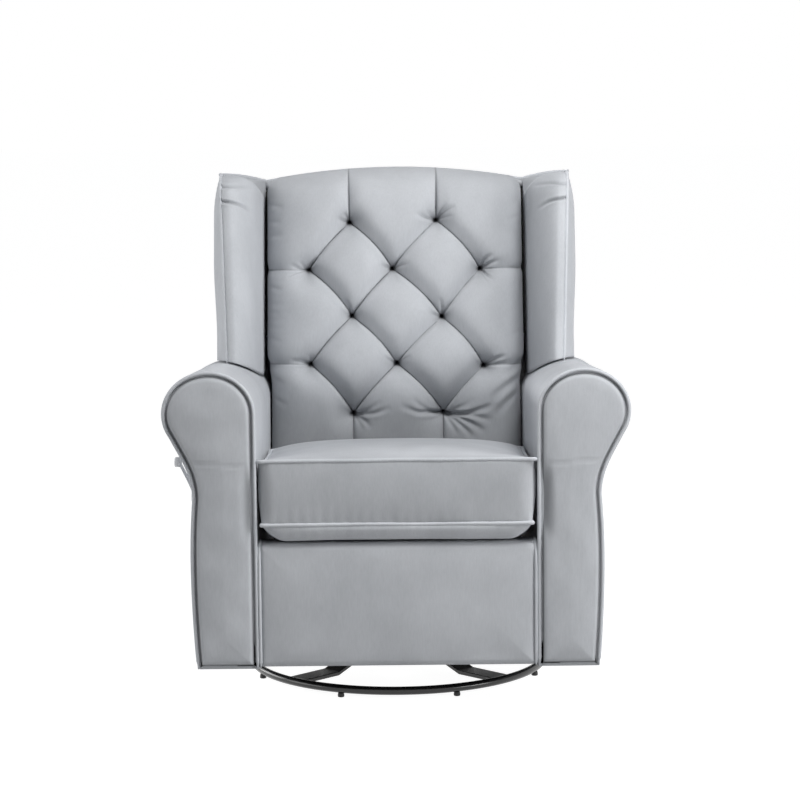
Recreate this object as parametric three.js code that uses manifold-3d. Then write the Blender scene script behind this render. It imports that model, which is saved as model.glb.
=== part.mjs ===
// Swivel glider recliner with rolled arms, wings, a tufted back and a folding legrest.
// Millimetres, +Z up. The chair faces -Y and swivels about the Z axis. Left is the sitter's left, +X.
import * as THREE from "three";
import { mergeVertices } from "three/addons/utils/BufferGeometryUtils.js";
import Module from "manifold-3d";

const wasm = await Module();
wasm.setup();

// Clearances
const seatGap = 0.3;
const pinGap = 0.4;
const overrun = 12;
const weldGap = 0.001;

// Facets round a turned piece
const ringSteps = 56;
const ringSides = 10;
const raceSides = 40;
const discSides = 24;
const earSides = 20;
const pinSides = 16;
const footSides = 12;
const plateSides = 12;
const boltSides = 6;
const endSteps = 6;
const cornerSteps = 3;
const sideSteps = 8;
const curveSteps = 6;
const topSteps = 22;
const slotSteps = 4;
const backColumns = 24;
const backRows = 32;

// Ring base
const ringRadius = 288;
const ringTube = 16;
const footHeight = 8;
const footDiameter = 12.6;
const footCount = 8;
const crossWidth = 42;
const crossThick = 8;
const crossRise = 24;
const crossBendInner = 120;
const crossBendOuter = 185;

// Swivel
const raceInner = 46;
const raceOuter = 108;
const raceHeight = 8;
const raceBevelAcross = 7.75;
const raceBevelUp = 2;
const postRadius = 10;
const postHead = 19;
const postHeadHeight = 6;

// Glide base and its hanging links
const glidePlateWidth = 304;
const glidePlateEdge = 20;
const glidePlateThick = 8;
const towerInner = 145;
const towerEdge = 13;
const towerFlange = 25;
const glideThick = 5;
const glidePivotSpan = 210;
const glidePivotHeight = 200;
const glideLinkLength = 110;
const glideLinkWidth = 26;
const glidePinRadius = 6;
const hangerEdge = 15;

// Chair frame
const railBottom = 235;
const railHeight = 27;
const railDepth = 30;
const railFront = -150;
const railRear = 120;
const skirtThick = 12;
const skirtTop = 280;
const seatFrameHalf = 223.7;
const seatRailThick = 24;
const seatFrameFront = -320;
const seatFrameRear = 110;
const webThick = 2;
const webWidth = 50;
const webLengthways = 4;
const webCrossways = 5;

// Seat cushion
const seatFront = -437;
const seatRear = 62;
const seatHalf = 255.4;
const seatBottom = 331;
const seatTilt = 4.75;
const seatWeltLow = 30;
const seatWeltHigh = 145;
const seatCrown = 20;
const seatCorner = 26;
const seatDrawIn = 5;

// Arms
const armInner = 256;
const armOuter = 425;
const armWaistIn = 53.5;
const armBellyIn = 48;
const armFootIn = 56;
const armBottom = 93;
const armTop = 644;
const armRearTop = 591;
const rollHeight = 566;
const rollEndTurn = -33;
const waistHeight = 412;
const waistPull = 46;
const neckPull = 38;
const bellyHeight = 290;
const armFront = -432;
const armRear = 235;
const armEdge = 7;
const armFrontThick = 8;
const armFrontInset = 9;
const armFrontBevel = 3;
const armBoardThick = 18;
const armBoardFront = -400;
const armBoardRear = 210;
const armBoardBottom = 97;
const armBoardTop = 520;
const armRailWidth = 62;
const armRailHeight = 24;

// Recline lever
const leverDepth = -235;
const leverHeight = 385;
const leverPlateRadius = 24;
const leverPlateSink = 6;
const leverPlateProud = 6;
const leverHub = 16;
const leverThick = 8;
const leverLean = 22;
const leverBarSink = 2;
const leverKnob = 15;
const leverReachForward = 76;
const leverReachUp = 74;
const leverGrip = 11;
const leverPin = 5;

// Legrest linkage: two crossed pairs of links on each side
const linkPivotDepth = -238;
const linkPivotHeight = 296;
const linkLength = 190;
const linkWidth = 22;
const linkThick = 4;
const linkPitch = 6;
const linkInner = 224;
const linkPin = 4.5;
const axisTurnClosed = -8;
const axisTurnOpen = 8;
const foldTurnClosed = 75;
const foldTurnOpen = 25;
const crossTubeRadius = 8;
const sliderPlay = 1.2;
const stayOnLink = 60;
const stayDropFromPivot = 48.7;
const stayForwardOfPivot = 8.9;
const stayPlayAlong = 5;
const stayPlayAcross = 5.6;
const staySlack = 3.4;
const stayEye = 14.5;
const plateTop = 310;
const plateBottom = 98;
const plateMargin = 18;

// Legrest panel
const legrestFront = -432;
const legrestHalf = 255.4;
const legrestBottom = 97;
const legrestTop = 321;
const legrestPad = 62;
const legrestPadEdge = 22;
const legrestCrown = 9;
const legrestCorner = 12;
const legrestBoardThick = 12;
const legrestBoardInset = 8;
const bracketFlange = 8;
const bracketFlangeThick = 3;
const bracketFoot = 28;
const bracketHead = 16;

// Back
const backFrontAtSeat = 70;
const backSeatHeight = 470;
const backFrontLean = 18;
const backRearFoot = 275;
const backRearFootHeight = 330;
const backRearLean = 14;
const backPanelThick = 12;
const backBottom = 305;
const backTop = 979;
const backArch = 30;
const backCushionThick = 150;
const backCushionBottom = 345;
const backFootHalf = 242;
const backArmHalf = 254;
const backUpperHalf = 269.4;
const backFootHeight = 440;
const backArmLow = 490;
const backArmHigh = 540;
const backOverArm = 612;
const backClear = 4;
const backCornerRadius = 26;
const backTopSink = 8;
const backSinkReach = 45;
const backSideShare = 0.4;
const backSideSharpness = 7;
const backEndSharpness = 12;
const boardThick = 15;
const boardLowerHalf = 247.1;
const boardStep = 634;
const boardTopDrop = 14;
const lipThick = 13.5;

// Tufts: rows from the top down
const tuftRows = [880, 779, 684, 593, 494];
const tuftNarrow = 87;
const tuftWide = 174;
const tuftDepth = 30;
const tuftRadius = 26;
const seamDepth = 11;
const seamRadius = 17;

// Wings
const wingInner = 270;
const wingOuter = 368;
const wingFrontLow = -32;
const wingFrontHigh = 115;
const wingEdgeLow = 327;
const wingEdgeHigh = 343;
const wingTop = 974;
const wingTopFall = 15;
const wingNose = 30;
const wingNoseRadius = 46;
const wingLedgeClear = 4;
const wingArmReach = 45;
const wingHollow = 42;
const wingTailInner = 256.6;
const wingTailFront = 240;
const wingTailWaist = 525;
const wingTailTop = 615;
const wingShoulder = 640;
const wingInsideShares = [[0.3, 0.42], [0.72, 0.8]];
const wingOutsideShares = [[0.55, 0.4], [1, 0.8]];
const wingLevelShares = [0, 0.2, 0.4, 0.6, 0.78, 0.88, 0.94, 0.98, 1];

// Back hinge
const hingeDepth = 210;
const hingeHeight = 300;
const hingeThick = 4;
const hingeEar = 17;
const hingeTongue = 68;
const hingePin = 6;
const hingeStrap = 26;
const hingeStrapTop = 440;

const degree = Math.PI / 180;

// Finishes
const finish = (color, roughness, metalness) =>
  new THREE.MeshStandardMaterial({ color, roughness, metalness });
const blackSteel = finish(0x0b0b0c, 0.22, 0.6);
const plainSteel = finish(0x8d9094, 0.4, 1);
const greyCloth = finish(0xb3b7bb, 0.85, 0);
const timber = finish(0xb98d5c, 0.7, 0);
const blackPlastic = finish(0x141414, 0.6, 0);
const greyPlastic = finish(0xbcbec2, 0.45, 0);
const webbing = finish(0x2a2a2c, 0.9, 0);

// Solids and their geometry
function toSolid(geometry) {
  const bare = geometry.index ? geometry.toNonIndexed() : geometry.clone();
  bare.deleteAttribute("normal");
  bare.deleteAttribute("uv");
  const merged = mergeVertices(bare, weldGap);
  return new wasm.Manifold(
    new wasm.Mesh({
      numProp: 3,
      vertProperties: merged.attributes.position.array,
      triVerts: new Uint32Array(merged.index.array),
    }),
  );
}

function toGeometry(solid) {
  const mesh = solid.getMesh();
  const geometry = new THREE.BufferGeometry();
  geometry.setAttribute("position", new THREE.BufferAttribute(new Float32Array(mesh.vertProperties), 3));
  geometry.setIndex(new THREE.BufferAttribute(new Uint32Array(mesh.triVerts), 1));
  return geometry;
}

function join(first, ...others) {
  return toGeometry(others.reduce((whole, part) => whole.add(toSolid(part)), toSolid(first)));
}

function cut(first, ...others) {
  return toGeometry(others.reduce((whole, part) => whole.subtract(toSolid(part)), toSolid(first)));
}

function overlap(first, second) {
  return toGeometry(toSolid(first).intersect(toSolid(second)));
}

// Faces turned out, whichever way the points were listed
function faceOut(geometry) {
  const index = geometry.index.array;
  const at = (corner) => new THREE.Vector3().fromBufferAttribute(geometry.attributes.position, corner);
  let volume = 0;
  for (let i = 0; i < index.length; i += 3) {
    volume += at(index[i]).dot(at(index[i + 1]).cross(at(index[i + 2])));
  }
  if (volume < 0) {
    for (let i = 0; i < index.length; i += 3) {
      [index[i + 1], index[i + 2]] = [index[i + 2], index[i + 1]];
    }
  }
  return geometry;
}

// Outlines drawn out along one axis
function shapeOf(outline) {
  return new THREE.Shape(outline.map(([across, up]) => new THREE.Vector2(across, up)));
}

function drawnOut(outline, depth, options = {}) {
  return new THREE.ExtrudeGeometry(shapeOf(outline), { depth, bevelEnabled: false, ...options });
}

function alongX(outline, low, high) {
  const turn = new THREE.Matrix4().makeBasis(
    new THREE.Vector3(0, 1, 0),
    new THREE.Vector3(0, 0, 1),
    new THREE.Vector3(1, 0, 0),
  );
  return drawnOut(outline, high - low).applyMatrix4(turn).translate(low, 0, 0);
}

function alongY(outline, low, high, options) {
  return drawnOut(outline, high - low, options).rotateX(Math.PI / 2).translate(0, high, 0);
}

function box(x0, x1, y0, y1, z0, z1) {
  const block = new THREE.BoxGeometry(x1 - x0, y1 - y0, z1 - z0);
  return block.translate((x0 + x1) / 2, (y0 + y1) / 2, (z0 + z1) / 2);
}

function pinAlongX(centre, radius, low, high, sides = pinSides) {
  return new THREE.CylinderGeometry(radius, radius, high - low, sides)
    .rotateZ(Math.PI / 2)
    .translate((low + high) / 2, centre.y, centre.z);
}

function turned(profile, sides) {
  const points = profile.map(([radius, height]) => new THREE.Vector2(radius, height));
  return new THREE.LatheGeometry([...points, points[0]], sides).rotateX(Math.PI / 2);
}

// A bar with round ends between two pivots in the YZ plane
function roundBar(from, to, width, low, high) {
  const half = width / 2;
  const along = Math.atan2(to.z - from.z, to.y - from.y);
  const outline = [];
  for (const [end, start] of [[to, -90], [from, 90]]) {
    for (let part = 0; part <= endSteps; part += 1) {
      const turn = along + (start + (part / endSteps) * 180) * degree;
      outline.push([end.y + half * Math.cos(turn), end.z + half * Math.sin(turn)]);
    }
  }
  return alongX(outline, low, high);
}

// A skin over rings of equally many points, closed by a fan at each end
function loft(rings) {
  const count = rings[0].length;
  const corners = rings.flat();
  const index = [];
  for (let ring = 0; ring + 1 < rings.length; ring += 1) {
    for (let i = 0; i < count; i += 1) {
      const next = (i + 1) % count;
      const a = ring * count + i;
      const b = ring * count + next;
      index.push(a, b, a + count, b, b + count, a + count);
    }
  }
  for (const [ring, flip] of [[0, true], [rings.length - 1, false]]) {
    const middle = corners.length;
    corners.push(rings[ring].reduce((sum, point) => sum.clone().add(point)).divideScalar(count));
    for (let i = 0; i < count; i += 1) {
      const pair = [ring * count + i, ring * count + ((i + 1) % count)];
      index.push(...(flip ? pair.reverse() : pair), middle);
    }
  }
  const geometry = new THREE.BufferGeometry().setFromPoints(corners);
  geometry.setIndex(index);
  return faceOut(geometry);
}

// An outline moved inwards along its own normals
function inset(outline, distance) {
  const area = THREE.ShapeUtils.area(outline.map(([x, y]) => new THREE.Vector2(x, y)));
  const side = Math.sign(area) * distance;
  return outline.map((point, i) => {
    const before = outline[(i + outline.length - 1) % outline.length];
    const after = outline[(i + 1) % outline.length];
    const into = new THREE.Vector2(point[0] - before[0], point[1] - before[1]).normalize();
    const out = new THREE.Vector2(after[0] - point[0], after[1] - point[1]).normalize();
    const normal = new THREE.Vector2(-into.y - out.y, into.x + out.x).normalize();
    const stretch = side / Math.max(normal.dot(new THREE.Vector2(-into.y, into.x)), Math.SQRT1_2);
    return [point[0] + normal.x * stretch, point[1] + normal.y * stretch];
  });
}

const clamp = THREE.MathUtils.clamp;
const smooth = THREE.MathUtils.smoothstep;
const mix = THREE.MathUtils.lerp;

// Model tree: the right-hand copy of a pair is the left-hand one mirrored
const chair = new THREE.Group();

function add(name, geometry, material) {
  const mesh = new THREE.Mesh(geometry, material);
  mesh.name = name;
  chair.add(mesh);
  return mesh;
}

function addPair(name, geometry, material) {
  add(name + "_left", geometry, material);
  add(name + "_right", geometry, material).scale.x = -1;
}

// Ring base
const ringMiddle = footHeight + ringTube / 2;
const crossHubTop = ringMiddle + crossThick / 2 + crossRise;

function baseRing() {
  const profile = [];
  for (let i = 0; i < ringSides; i += 1) {
    const turn = ((i + 0.5) / ringSides) * 2 * Math.PI;
    const [out, up] = [Math.cos(turn), Math.sin(turn)].map((way) => (way * ringTube) / 2);
    profile.push([ringRadius + out, ringMiddle + up]);
  }
  return turned(profile, ringSteps);
}

function crossBar(turn) {
  const low = ringMiddle - crossThick / 2;
  const half = [
    [crossBendInner, low + crossRise],
    [crossBendOuter, low],
    [ringRadius, low],
  ];
  const under = [...half.map(([y, z]) => [-y, z]).reverse(), ...half];
  const over = under.map(([y, z]) => [y, z + crossThick]).reverse();
  return alongX([...under, ...over], -crossWidth / 2, crossWidth / 2).rotateZ(turn);
}

function baseCross() {
  const ringInside = ringRadius - (ringTube / 2) * Math.cos(Math.PI / ringSides);
  const reach = ringInside * Math.cos(Math.PI / ringSteps) - seatGap;
  const disc = new THREE.CylinderGeometry(reach, reach, crossHubTop + overrun, ringSteps);
  disc.rotateX(Math.PI / 2).translate(0, 0, crossHubTop / 2);
  const bars = join(crossBar(Math.PI / 4), crossBar(-Math.PI / 4));
  const bore = postRadius + pinGap;
  const hole = new THREE.CylinderGeometry(bore, bore, crossHubTop * 2 + overrun, discSides);
  return cut(overlap(bars, disc), hole.rotateX(Math.PI / 2));
}

function footGlide(number) {
  const radius = footDiameter / 2;
  const foot = new THREE.CylinderGeometry(radius, radius, footHeight - seatGap, footSides);
  const turn = ((number - 0.5) / footCount) * 2 * Math.PI;
  return foot
    .rotateX(Math.PI / 2)
    .translate(ringRadius * Math.cos(turn), ringRadius * Math.sin(turn), (footHeight - seatGap) / 2);
}

// Swivel bearing and its centre post
const lowerRace = crossHubTop + seatGap;
const upperRace = lowerRace + raceHeight + seatGap;
const glidePlate = upperRace + raceHeight + seatGap;
const glidePlateTop = glidePlate + glidePlateThick;

function race(bottom, top) {
  const profile = [
    [raceInner, bottom],
    [raceOuter - raceBevelAcross, bottom],
    [raceOuter, bottom + raceBevelUp],
    [raceOuter, top - raceBevelUp],
    [raceOuter - raceBevelAcross, top],
    [raceInner, top],
  ];
  return turned(profile, raceSides);
}

function swivelPost() {
  const foot = crossHubTop - crossThick;
  const headBottom = glidePlateTop + seatGap;
  const length = headBottom - foot + postHeadHeight;
  const stem = new THREE.CylinderGeometry(postRadius, postRadius, length, discSides);
  const head = new THREE.CylinderGeometry(postHead, postHead, postHeadHeight, boltSides);
  stem.rotateX(Math.PI / 2).translate(0, 0, (foot + headBottom + postHeadHeight) / 2);
  head.rotateX(Math.PI / 2).translate(0, 0, headBottom + postHeadHeight / 2);
  return join(stem, head);
}

// Glide: two towers on the turntable carry four hanging links
const linkInside = towerInner + glideThick + seatGap;
const linkOutside = linkInside + glideThick;
const hangerInside = linkOutside + seatGap;
const hangerOutside = hangerInside + glideThick;
const lowPivotHeight = glidePivotHeight - glideLinkLength;
const glideEnds = [-glidePivotSpan / 2, glidePivotSpan / 2];
const glidePlateHalf = glidePivotSpan / 2 + glidePlateEdge;

function glideBasePlate() {
  const plate = box(
    -glidePlateWidth / 2,
    glidePlateWidth / 2,
    -glidePlateHalf,
    glidePlateHalf,
    glidePlate,
    glidePlateTop,
  );
  const bore = postRadius + pinGap;
  const hole = new THREE.CylinderGeometry(bore, bore, glidePlateTop * 2 + overrun, discSides);
  return cut(plate, hole.rotateX(Math.PI / 2));
}

function glideTower() {
  const foot = glidePlateTop + seatGap;
  const top = glidePivotHeight + glideLinkWidth / 2;
  const wide = glidePlateHalf;
  const narrow = glidePivotSpan / 2 + towerEdge;
  const outline = [[-wide, foot], [wide, foot], [narrow, top], [-narrow, top]];
  const web = alongX(outline, towerInner, towerInner + glideThick);
  const inner = towerInner - towerFlange;
  const flange = box(inner, towerInner + glideThick, -wide, wide, foot, foot + glideThick);
  const pins = glideEnds.map((y) =>
    pinAlongX({ y, z: glidePivotHeight }, glidePinRadius, towerInner + glideThick / 2, linkOutside),
  );
  return join(web, flange, ...pins);
}

function glideLink(y) {
  const top = { y, z: glidePivotHeight };
  const bottom = { y, z: lowPivotHeight };
  const bar = roundBar(top, bottom, glideLinkWidth, linkInside, linkOutside);
  const holes = [top, bottom].map((pivot) =>
    pinAlongX(pivot, glidePinRadius + pinGap, linkInside - overrun, linkOutside + overrun),
  );
  return cut(bar, ...holes);
}

function glideHanger() {
  const foot = lowPivotHeight - glideLinkWidth / 2;
  const top = railBottom - seatGap;
  const half = glidePivotSpan / 2 + hangerEdge;
  const outline = [
    [-half, foot],
    [half, foot],
    [railRear + railDepth, top],
    [railFront, top],
  ];
  const pins = glideEnds.map((y) =>
    pinAlongX({ y, z: lowPivotHeight }, glidePinRadius, linkInside, hangerInside + glideThick / 2),
  );
  return join(alongX(outline, hangerInside, hangerOutside), ...pins);
}

// Chair frame under the seat
const betweenArms = armInner - seatGap;
const seatSlope = Math.tan(seatTilt * degree);
const seatUnderAt = (y) => seatBottom - (y - seatFront) * seatSlope;
const webTopAt = (y) => seatUnderAt(y) - seatGap;
const seatFrameTopAt = (y) => webTopAt(y) - webThick - seatGap;

function bodyRail(front) {
  return box(-betweenArms, betweenArms, front, front + railDepth, railBottom, railBottom + railHeight);
}

function rearSkirt() {
  return box(-betweenArms, betweenArms, armRear - skirtThick, armRear, armBottom, skirtTop);
}

function seatFrame() {
  const foot = railBottom + railHeight + seatGap;
  const outline = [
    [seatFrameFront, foot],
    [seatFrameRear, foot],
    [seatFrameRear, seatFrameTopAt(seatFrameRear)],
    [seatFrameFront, seatFrameTopAt(seatFrameFront)],
  ];
  const inner = seatFrameHalf - seatRailThick;
  const window = box(
    -inner,
    inner,
    seatFrameFront + seatRailThick,
    seatFrameRear - seatRailThick,
    foot - overrun,
    seatFrameTopAt(seatFrameFront) + overrun,
  );
  return cut(alongX(outline, -seatFrameHalf, seatFrameHalf), window);
}

// Elastic straps laid both ways over the seat frame
function seatWebbing() {
  const strapOutline = (front, rear) => [
    [front, webTopAt(front) - webThick],
    [rear, webTopAt(rear) - webThick],
    [rear, webTopAt(rear)],
    [front, webTopAt(front)],
  ];
  const strapAt = (front, rear, low, high) => alongX(strapOutline(front, rear), low, high);
  const straps = [];
  for (let i = 0; i < webLengthways; i += 1) {
    const middle = ((i + 0.5) / webLengthways - 0.5) * 2 * (seatFrameHalf - seatRailThick);
    straps.push(strapAt(seatFrameFront, seatFrameRear, middle - webWidth / 2, middle + webWidth / 2));
  }
  for (let i = 0; i < webCrossways; i += 1) {
    const middle = mix(seatFrameFront, seatFrameRear, (i + 0.5) / webCrossways);
    straps.push(strapAt(middle - webWidth / 2, middle + webWidth / 2, -seatFrameHalf, seatFrameHalf));
  }
  return join(...straps);
}

// A rounded rectangle whose sides are drawn in between its corners
function cushionRing(halfWide, halfDeep, corner, drawIn, height) {
  const points = [];
  for (const [signX, signY, start] of [[1, 1, 0], [-1, 1, 90], [-1, -1, 180], [1, -1, 270]]) {
    for (let i = 0; i <= cornerSteps; i += 1) {
      const turn = (start + (i / cornerSteps) * 90) * degree;
      const x = signX * (halfWide - corner) + corner * Math.cos(turn);
      const y = signY * (halfDeep - corner) + corner * Math.sin(turn);
      points.push([x, y]);
    }
  }
  const ring = [];
  points.forEach(([x, y], i) => {
    const [nextX, nextY] = points[(i + 1) % points.length];
    const parts = Math.hypot(nextX - x, nextY - y) > corner ? sideSteps : 1;
    for (let part = 0; part < parts; part += 1) {
      const share = part / parts;
      const pull = 1 - (drawIn * Math.sin(share * Math.PI)) / Math.max(halfWide, halfDeep);
      ring.push(new THREE.Vector3(mix(x, nextX, share) * pull, mix(y, nextY, share) * pull, height));
    }
  });
  return ring;
}

// Seat cushion: welted edges, full sides and a crowned top
function seatCushion() {
  const middle = (seatWeltLow + seatWeltHigh) / 2;
  const lean = Math.sin(seatTilt * degree);
  const depth = seatRear - seatFront - (seatWeltHigh - middle) * lean;
  const halfDeep = depth / (2 * Math.cos(seatTilt * degree));
  const thick = seatWeltHigh + seatCrown;
  const underShares = [[0.6, 0], [0.86, 0.02], [0.94, 0.2], [0.975, 0.62]];
  const crownShares = [[0.93, 0.34], [0.82, 0.62], [0.6, 0.86], [0.3, 0.98]];
  const layer = (size, height, drawIn) =>
    cushionRing(seatHalf * size, halfDeep * size, seatCorner * size, drawIn, height);
  const weltShare = 0.985;
  const rings = [
    ...underShares.map(([size, rise]) => layer(size, seatWeltLow * rise, 0)),
    layer(weltShare, seatWeltLow, seatDrawIn),
    layer(1, (seatWeltLow + middle) / 2, seatDrawIn / 2),
    layer(1, middle, 0),
    layer(1, (seatWeltHigh + middle) / 2, seatDrawIn / 2),
    layer(weltShare, seatWeltHigh, seatDrawIn),
    ...crownShares.map(([size, rise]) => layer(size, mix(seatWeltHigh, thick, rise), 0)),
  ];
  return loft(rings)
    .translate(0, halfDeep, 0)
    .rotateX(-seatTilt * degree)
    .translate(0, seatFront - middle * lean, seatBottom + middle * lean * seatSlope);
}

// Arms: a keyhole outline in the XZ plane
const armWaist = armOuter - armWaistIn;
const armBelly = armOuter - armBellyIn;
const armFoot = armOuter - armFootIn;

function armOutline() {
  const path = new THREE.Path();
  const rollMiddle = (armInner + armOuter) / 2;
  const rollHalf = (armOuter - armInner) / 2;
  path.moveTo(armInner, armBottom);
  path.lineTo(armInner, rollHeight);
  const rollUp = armTop - rollHeight;
  path.absellipse(rollMiddle, rollHeight, rollHalf, rollUp, Math.PI, rollEndTurn * degree, true);
  const neck = { x: path.currentPoint.x - neckPull / 2, y: path.currentPoint.y - neckPull };
  path.bezierCurveTo(neck.x, neck.y, armWaist, waistHeight + waistPull, armWaist, waistHeight);
  path.quadraticCurveTo(armBelly, (waistHeight + bellyHeight) / 2, armBelly, bellyHeight);
  path.quadraticCurveTo(armBelly, (bellyHeight + armBottom) / 2, armFoot, armBottom);
  return path.getPoints(curveSteps).map((point) => [point.x, point.y]);
}

// The roll falls towards the rear, the foot stays level
const armFallAt = (y) => ((armTop - armRearTop) * (y - armFront)) / (armRear - armFront);
const armTopAt = (y) => armTop - armFallAt(y);

function armRing(outline, y) {
  return outline.map(([x, z]) => {
    const fallShare = clamp((z - bellyHeight) / (rollHeight - bellyHeight), 0, 1);
    return new THREE.Vector3(x, y, z - armFallAt(y) * fallShare);
  });
}

function armPocket(gap) {
  const middle = (armInner + armWaist) / 2;
  const half = armBoardThick / 2 + gap;
  const low = armBoardBottom - (gap > 0 ? overrun : 0);
  const board = box(
    middle - half,
    middle + half,
    armBoardFront - gap,
    armBoardRear + gap,
    low,
    armBoardTop,
  );
  const rail = box(
    middle - armRailWidth / 2 - gap,
    middle + armRailWidth / 2 + gap,
    armBoardFront - gap,
    armBoardRear + gap,
    armBoardTop - armRailHeight - gap,
    armBoardTop + gap,
  );
  return join(board, rail);
}

function armPad() {
  const outline = armOutline();
  const front = armFront + armFrontThick + seatGap;
  const rings = [
    armRing(inset(outline, armEdge), front),
    armRing(outline, front + armEdge),
    armRing(outline, (armFront + armRear) / 2),
    armRing(outline, armRear - armEdge),
    armRing(inset(outline, armEdge), armRear),
  ];
  return cut(loft(rings), armPocket(seatGap));
}

function armFrontPanel() {
  const outline = inset(armOutline(), armFrontInset + armFrontBevel);
  return alongY(outline, armFront + armFrontBevel, armFront + armFrontThick - armFrontBevel, {
    bevelEnabled: true,
    bevelThickness: armFrontBevel,
    bevelSize: armFrontBevel,
    bevelSegments: 2,
  });
}

// Recline lever on the sitter's right
const leverPlateOut = armWaist + leverPlateProud;
const leverPinIn = armWaist - leverPlateSink / 2;
const leverCentre = { y: leverDepth, z: leverHeight };

function leverRecess() {
  return pinAlongX(
    leverCentre,
    leverPlateRadius + seatGap,
    armWaist - leverPlateSink - seatGap,
    armOuter + overrun,
    plateSides,
  );
}

function leverPlate() {
  const inside = armWaist - leverPlateSink;
  const disc = pinAlongX(leverCentre, leverPlateRadius, inside, leverPlateOut, plateSides);
  const hole = pinAlongX(leverCentre, leverPin + pinGap, leverPinIn, leverPlateOut + overrun);
  return cut(disc, hole);
}

// A flat bar that leans out from its hub, so that its knob clears the arm
function reclineLever() {
  const inside = leverPlateOut + seatGap;
  const hub = pinAlongX(leverCentre, leverHub, inside, inside + leverThick, discSides);
  const pin = pinAlongX(leverCentre, leverPin, leverPinIn + seatGap, inside + leverThick / 2);
  const tip = { y: leverDepth - leverReachForward, z: leverHeight + leverReachUp };
  const barIn = inside + leverBarSink;
  const reach = leverReachForward ** 2 + leverReachUp ** 2;
  const [ahead, up] = [(-leverLean * leverReachForward) / reach, (leverLean * leverReachUp) / reach];
  const base = -ahead * leverDepth - up * leverHeight;
  const lean = new THREE.Matrix4().set(1, ahead, up, base, 0, 1, 0, 0, 0, 0, 1, 0, 0, 0, 0, 1);
  const bar = roundBar(leverCentre, tip, leverGrip * 2, barIn, barIn + leverThick).applyMatrix4(lean);
  const knob = pinAlongX(tip, leverGrip, barIn + leverLean, barIn + leverLean + leverKnob, discSides);
  return join(hub, pin, bar, knob);
}

// Legrest linkage at rest: a links fall forwards from their pivots, b links rise
const heading = (turn) => ({ y: -Math.cos(turn * degree), z: Math.sin(turn * degree) });
const step = (from, way, distance) => ({ y: from.y + way.y * distance, z: from.z + way.z * distance });
const wayA = heading(axisTurnClosed - foldTurnClosed);
const wayB = heading(axisTurnClosed + foldTurnClosed);
const halfLink = linkLength / 2;
const fixedPivot = { y: linkPivotDepth, z: linkPivotHeight };
const crossOne = step(fixedPivot, wayA, halfLink);
const tubePivot = step(fixedPivot, wayA, linkLength);
const sliderPivot = step(crossOne, wayB, -halfLink);
const kneePivot = step(crossOne, wayB, halfLink);
const crossTwo = step(kneePivot, wayA, halfLink);
const stayOnLinkPivot = step(crossTwo, wayA, stayOnLink);
const panelPivot = step(tubePivot, wayB, linkLength);
const stayPivot = { y: panelPivot.y - stayForwardOfPivot, z: panelPivot.z - stayDropFromPivot };

// Layers from the inside out: side plate, a links, b links and stays, panel bracket
const layer = (number) => linkInner + number * linkPitch;
const layerEnd = (number) => layer(number) + linkThick;
const linkHole = (pivot, number) =>
  pinAlongX(pivot, linkPin + pinGap, layer(number) - linkPitch / 3, layerEnd(number) + linkPitch / 3);
const linkPinFrom = (pivot, inner, outer) => pinAlongX(pivot, linkPin, layer(inner), layerEnd(outer));
const linkBar = (from, to, number) => roundBar(from, to, linkWidth, layer(number), layerEnd(number));

function sliderAt(progress) {
  const axis = mix(axisTurnClosed, axisTurnOpen, progress);
  const fold = mix(foldTurnClosed, foldTurnOpen, progress);
  return step(step(fixedPivot, heading(axis - fold), halfLink), heading(axis + fold), -halfLink);
}

// Side plate with the slot that guides the slider
function mechanismPlate() {
  const low = sliderAt(0);
  const high = sliderAt(1);
  const tail = railFront - seatGap;
  const outline = [
    [fixedPivot.y - plateMargin, plateTop],
    [fixedPivot.y + plateMargin, plateTop],
    [tail, railBottom + railHeight],
    [tail, railBottom - plateMargin],
    [low.y + plateMargin, plateBottom],
    [low.y - plateMargin, plateBottom],
    [high.y - plateMargin, high.z],
  ];
  const slotWidth = 2 * (linkPin + sliderPlay);
  const slots = [];
  for (let i = 0; i < slotSteps; i += 1) {
    slots.push(
      roundBar(
        sliderAt(i / slotSteps),
        sliderAt((i + 1) / slotSteps),
        slotWidth,
        layer(0) - linkThick,
        layerEnd(0) + linkPitch / 3,
      ),
    );
  }
  return cut(alongX(outline, layer(0), layerEnd(0)), linkHole(fixedPivot, 0), join(...slots));
}

// Drive arms of both sides, welded to one cross tube
function driveArms() {
  const side = (sign) => {
    const arm = join(
      cut(linkBar(fixedPivot, tubePivot, 1), linkHole(crossOne, 1)),
      linkPinFrom(fixedPivot, 0, 1),
      linkPinFrom(tubePivot, 1, 2),
    );
    return sign > 0 ? arm : mirrored(arm);
  };
  const tubeEnd = layer(1) + linkThick / 2;
  const tube = pinAlongX(tubePivot, crossTubeRadius, -tubeEnd, tubeEnd, footSides);
  return join(side(1), side(-1), tube);
}

function mirrored(geometry) {
  return faceOut(geometry.clone().scale(-1, 1, 1));
}

function rearLink() {
  const bar = cut(linkBar(sliderPivot, kneePivot, 2), linkHole(kneePivot, 2));
  return join(bar, linkPinFrom(crossOne, 1, 2), linkPinFrom(sliderPivot, 0, 2));
}

function crossLink() {
  const bar = linkBar(kneePivot, stayOnLinkPivot, 1);
  return join(bar, ...[kneePivot, crossTwo, stayOnLinkPivot].map((pivot) => linkPinFrom(pivot, 1, 2)));
}

function liftLink() {
  const bar = linkBar(tubePivot, panelPivot, 2);
  return cut(bar, linkHole(tubePivot, 2), linkHole(crossTwo, 2), linkHole(panelPivot, 2));
}

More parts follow.
